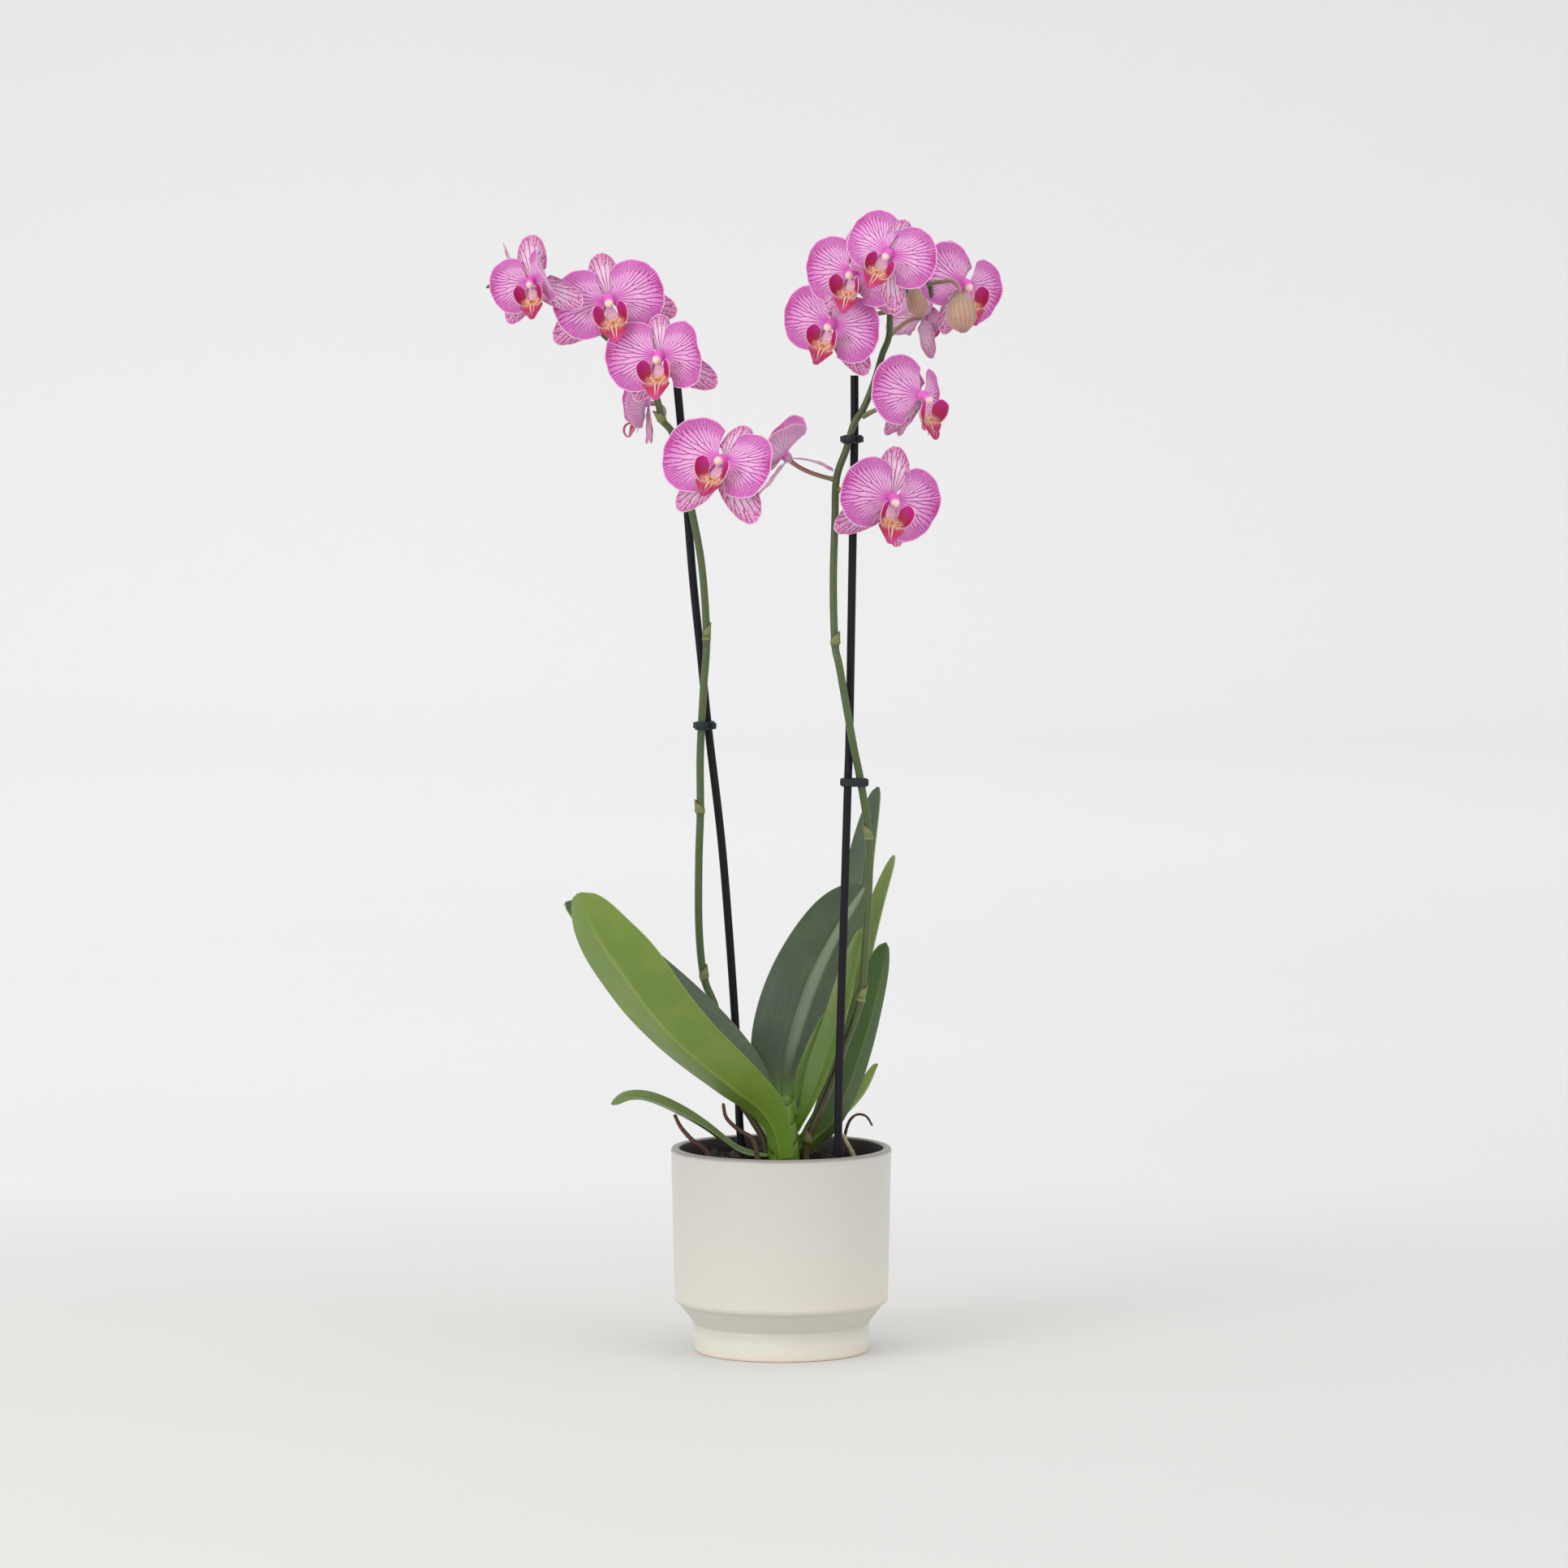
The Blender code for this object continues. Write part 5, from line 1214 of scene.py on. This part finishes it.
def bark():
    """A bed of loose chips with a few pale grains, level with the liner's rim."""
    draw = random.Random(5)
    radius = LINER_TOP_RADIUS - LINER_RIM - LINER_WALL - 0.0006
    base = POT_FLOOR + CLEAR * 2 + LINER_WALL
    parts = [lathe([(0, base), (LINER_BASE_RADIUS - LINER_WALL - 0.0006, base),
                    (radius - 0.0006, BARK_Z - 0.004), (radius * 0.6, BARK_Z - 0.002),
                    (0, BARK_Z - 0.001)], BARK_SIDES)]
    for k in range(CHIP_COUNT):
        out = (radius - 0.005) * math.sqrt(draw.random())
        turn = draw.uniform(0, math.tau)
        level = BARK_Z - 0.002 + draw.uniform(0, 0.0045)
        spot = np.array((out * math.cos(turn), out * math.sin(turn), level))
        pale = k % PALE_EVERY == 0
        length = 0.0016 if pale else draw.uniform(0.003, 0.0075)
        if min(np.linalg.norm(spot[:2] - mm(*place)) for place in STANDING) < length + 0.002:
            continue
        size = np.array((length, length * draw.uniform(0.4, 0.8), length * draw.uniform(0.25, 0.45)))
        *part, slots = chip(draw, spot, size)
        parts.append((*part, slots + int(pale)))
    grain = plastic_finish("pale_grain", (214, 208, 198), (236, 232, 224), 0.8, 900)
    piece("bark_fine", parts, [bark_finish(), grain], "bark", "bark")


BUD_FINISH = bud_finish()
STAKE_FINISH = plastic_finish("stake_paint", (17, 16, 24), (27, 26, 36), 0.5, 380)
CLIP_FINISH = plastic_finish("clip_plastic", (30, 36, 41), (46, 54, 60), 0.45, 600)
ROOT_FINISH = root_finish("air_root", (112, 72, 62), (76, 56, 50))
STUB_FINISH = root_finish("root_stub", (214, 206, 176), (140, 128, 90))


# Stage


def stage():
    """A wide pale floor that sweeps up into a backdrop, further off than any view's camera."""
    side, start, corner, top = 14.0, 5.4, 1.1, 5.0
    turns = np.linspace(0, math.pi / 2, 24)
    bend = [(start + corner * math.sin(k), corner * (1 - math.cos(k))) for k in turns]
    outline = [(-side, 0.0), *bend, (start + corner, top)]
    places = [(x, y, z) for y, z in outline for x in (-side, side)]
    mesh = bpy.data.meshes.new("floor")
    mesh.from_pydata(places, [], [(k, k + 1, k + 3, k + 2) for k in range(0, len(places) - 2, 2)])
    mesh.shade_smooth()
    f = Finish("paper", 0.9)
    # Painted light and shade: the paper's tone rises and falls with depth and height, darker at the horizon,
    # brightest a little above it and darker again higher up
    f.colour = f.ramp((f.axis(1) + f.axis(2) + 1) / 9, (0.04, 222, 221, 219), (0.13, 224, 224, 222),
                      (0.16, 228, 228, 227), (0.2, 239, 239, 240), (0.3, 242, 242, 244),
                      (0.46, 233, 233, 235), (0.58, 231, 231, 233), (0.72, 235, 235, 237),
                      (0.8, 231, 231, 232), (0.88, 227, 227, 227), (0.95, 224, 224, 224))
    # Painted shade: the paper darkens towards the right
    f.paint((216, 216, 217), f.step(f.axis(0), -0.8, 1.2) * 0.35)
    f.paint((230, 230, 230), f.noise(3) * 0.2)
    mesh.materials.append(f.done())
    added("floor", mesh)


def light(name, place, target, size, power):
    data = bpy.data.lights.new(name, "AREA")
    data.shape = "RECTANGLE"
    data.size, data.size_y = size
    data.energy = power
    obj = added(name, data)
    obj.location = place
    obj.rotation_euler = (Vector(target) - Vector(place)).to_track_quat("-Z", "Y").to_euler()


def lights():
    """Soft studio light from above and both sides, with a bright room round it."""
    light("overhead", (0.0, -0.5, 2.6), (0, 0, 0.3), (3.0, 3.0), 14)
    light("left_window", (-2.2, -2.2, 1.5), (0, 0, 0.4), (1.6, 2.0), 28)
    light("right_fill", (2.4, -1.6, 1.1), (0, 0, 0.4), (1.6, 2.0), 8)
    light("backdrop_wash", (0.0, 3.4, 3.2), (0, 6.0, 0.3), (8.0, 1.0), 60)
    world = bpy.data.worlds.new("room")
    world.use_nodes = True
    background = world.node_tree.nodes["Background"]
    background.inputs[0].default_value = rgb(243, 243, 242)
    background.inputs[1].default_value = 0.9
    bpy.context.scene.world = world


def camera():
    data = bpy.data.cameras.new("camera")
    data.sensor_width = 36.0
    data.lens = CAMERA_LENS
    data.clip_end = 30.0
    obj = added("camera", data)
    obj.location = CAMERA_PLACE
    obj.rotation_euler = (math.radians(90 - CAMERA_PITCH), 0, 0)
    bpy.context.scene.camera = obj
    bpy.context.scene.view_settings.view_transform = "Standard"


camera()
stage()
lights()
pot()
nursery_pot()
bark()
crown()
for row in LEAVES:
    leaf(*row)
for row in ROOTS:
    root(*row)
spike("spike_left", LEFT_SPIKE)
spike("spike_right", RIGHT_SPIKE)
stake("stake_left", LEFT_STAKE)
stake("stake_right", RIGHT_STAKE)
for row in CLIPS:
    clip(*row)
for row in BLOOMS:
    bloom(*row)
for row in BUDS:
    bud(*row)
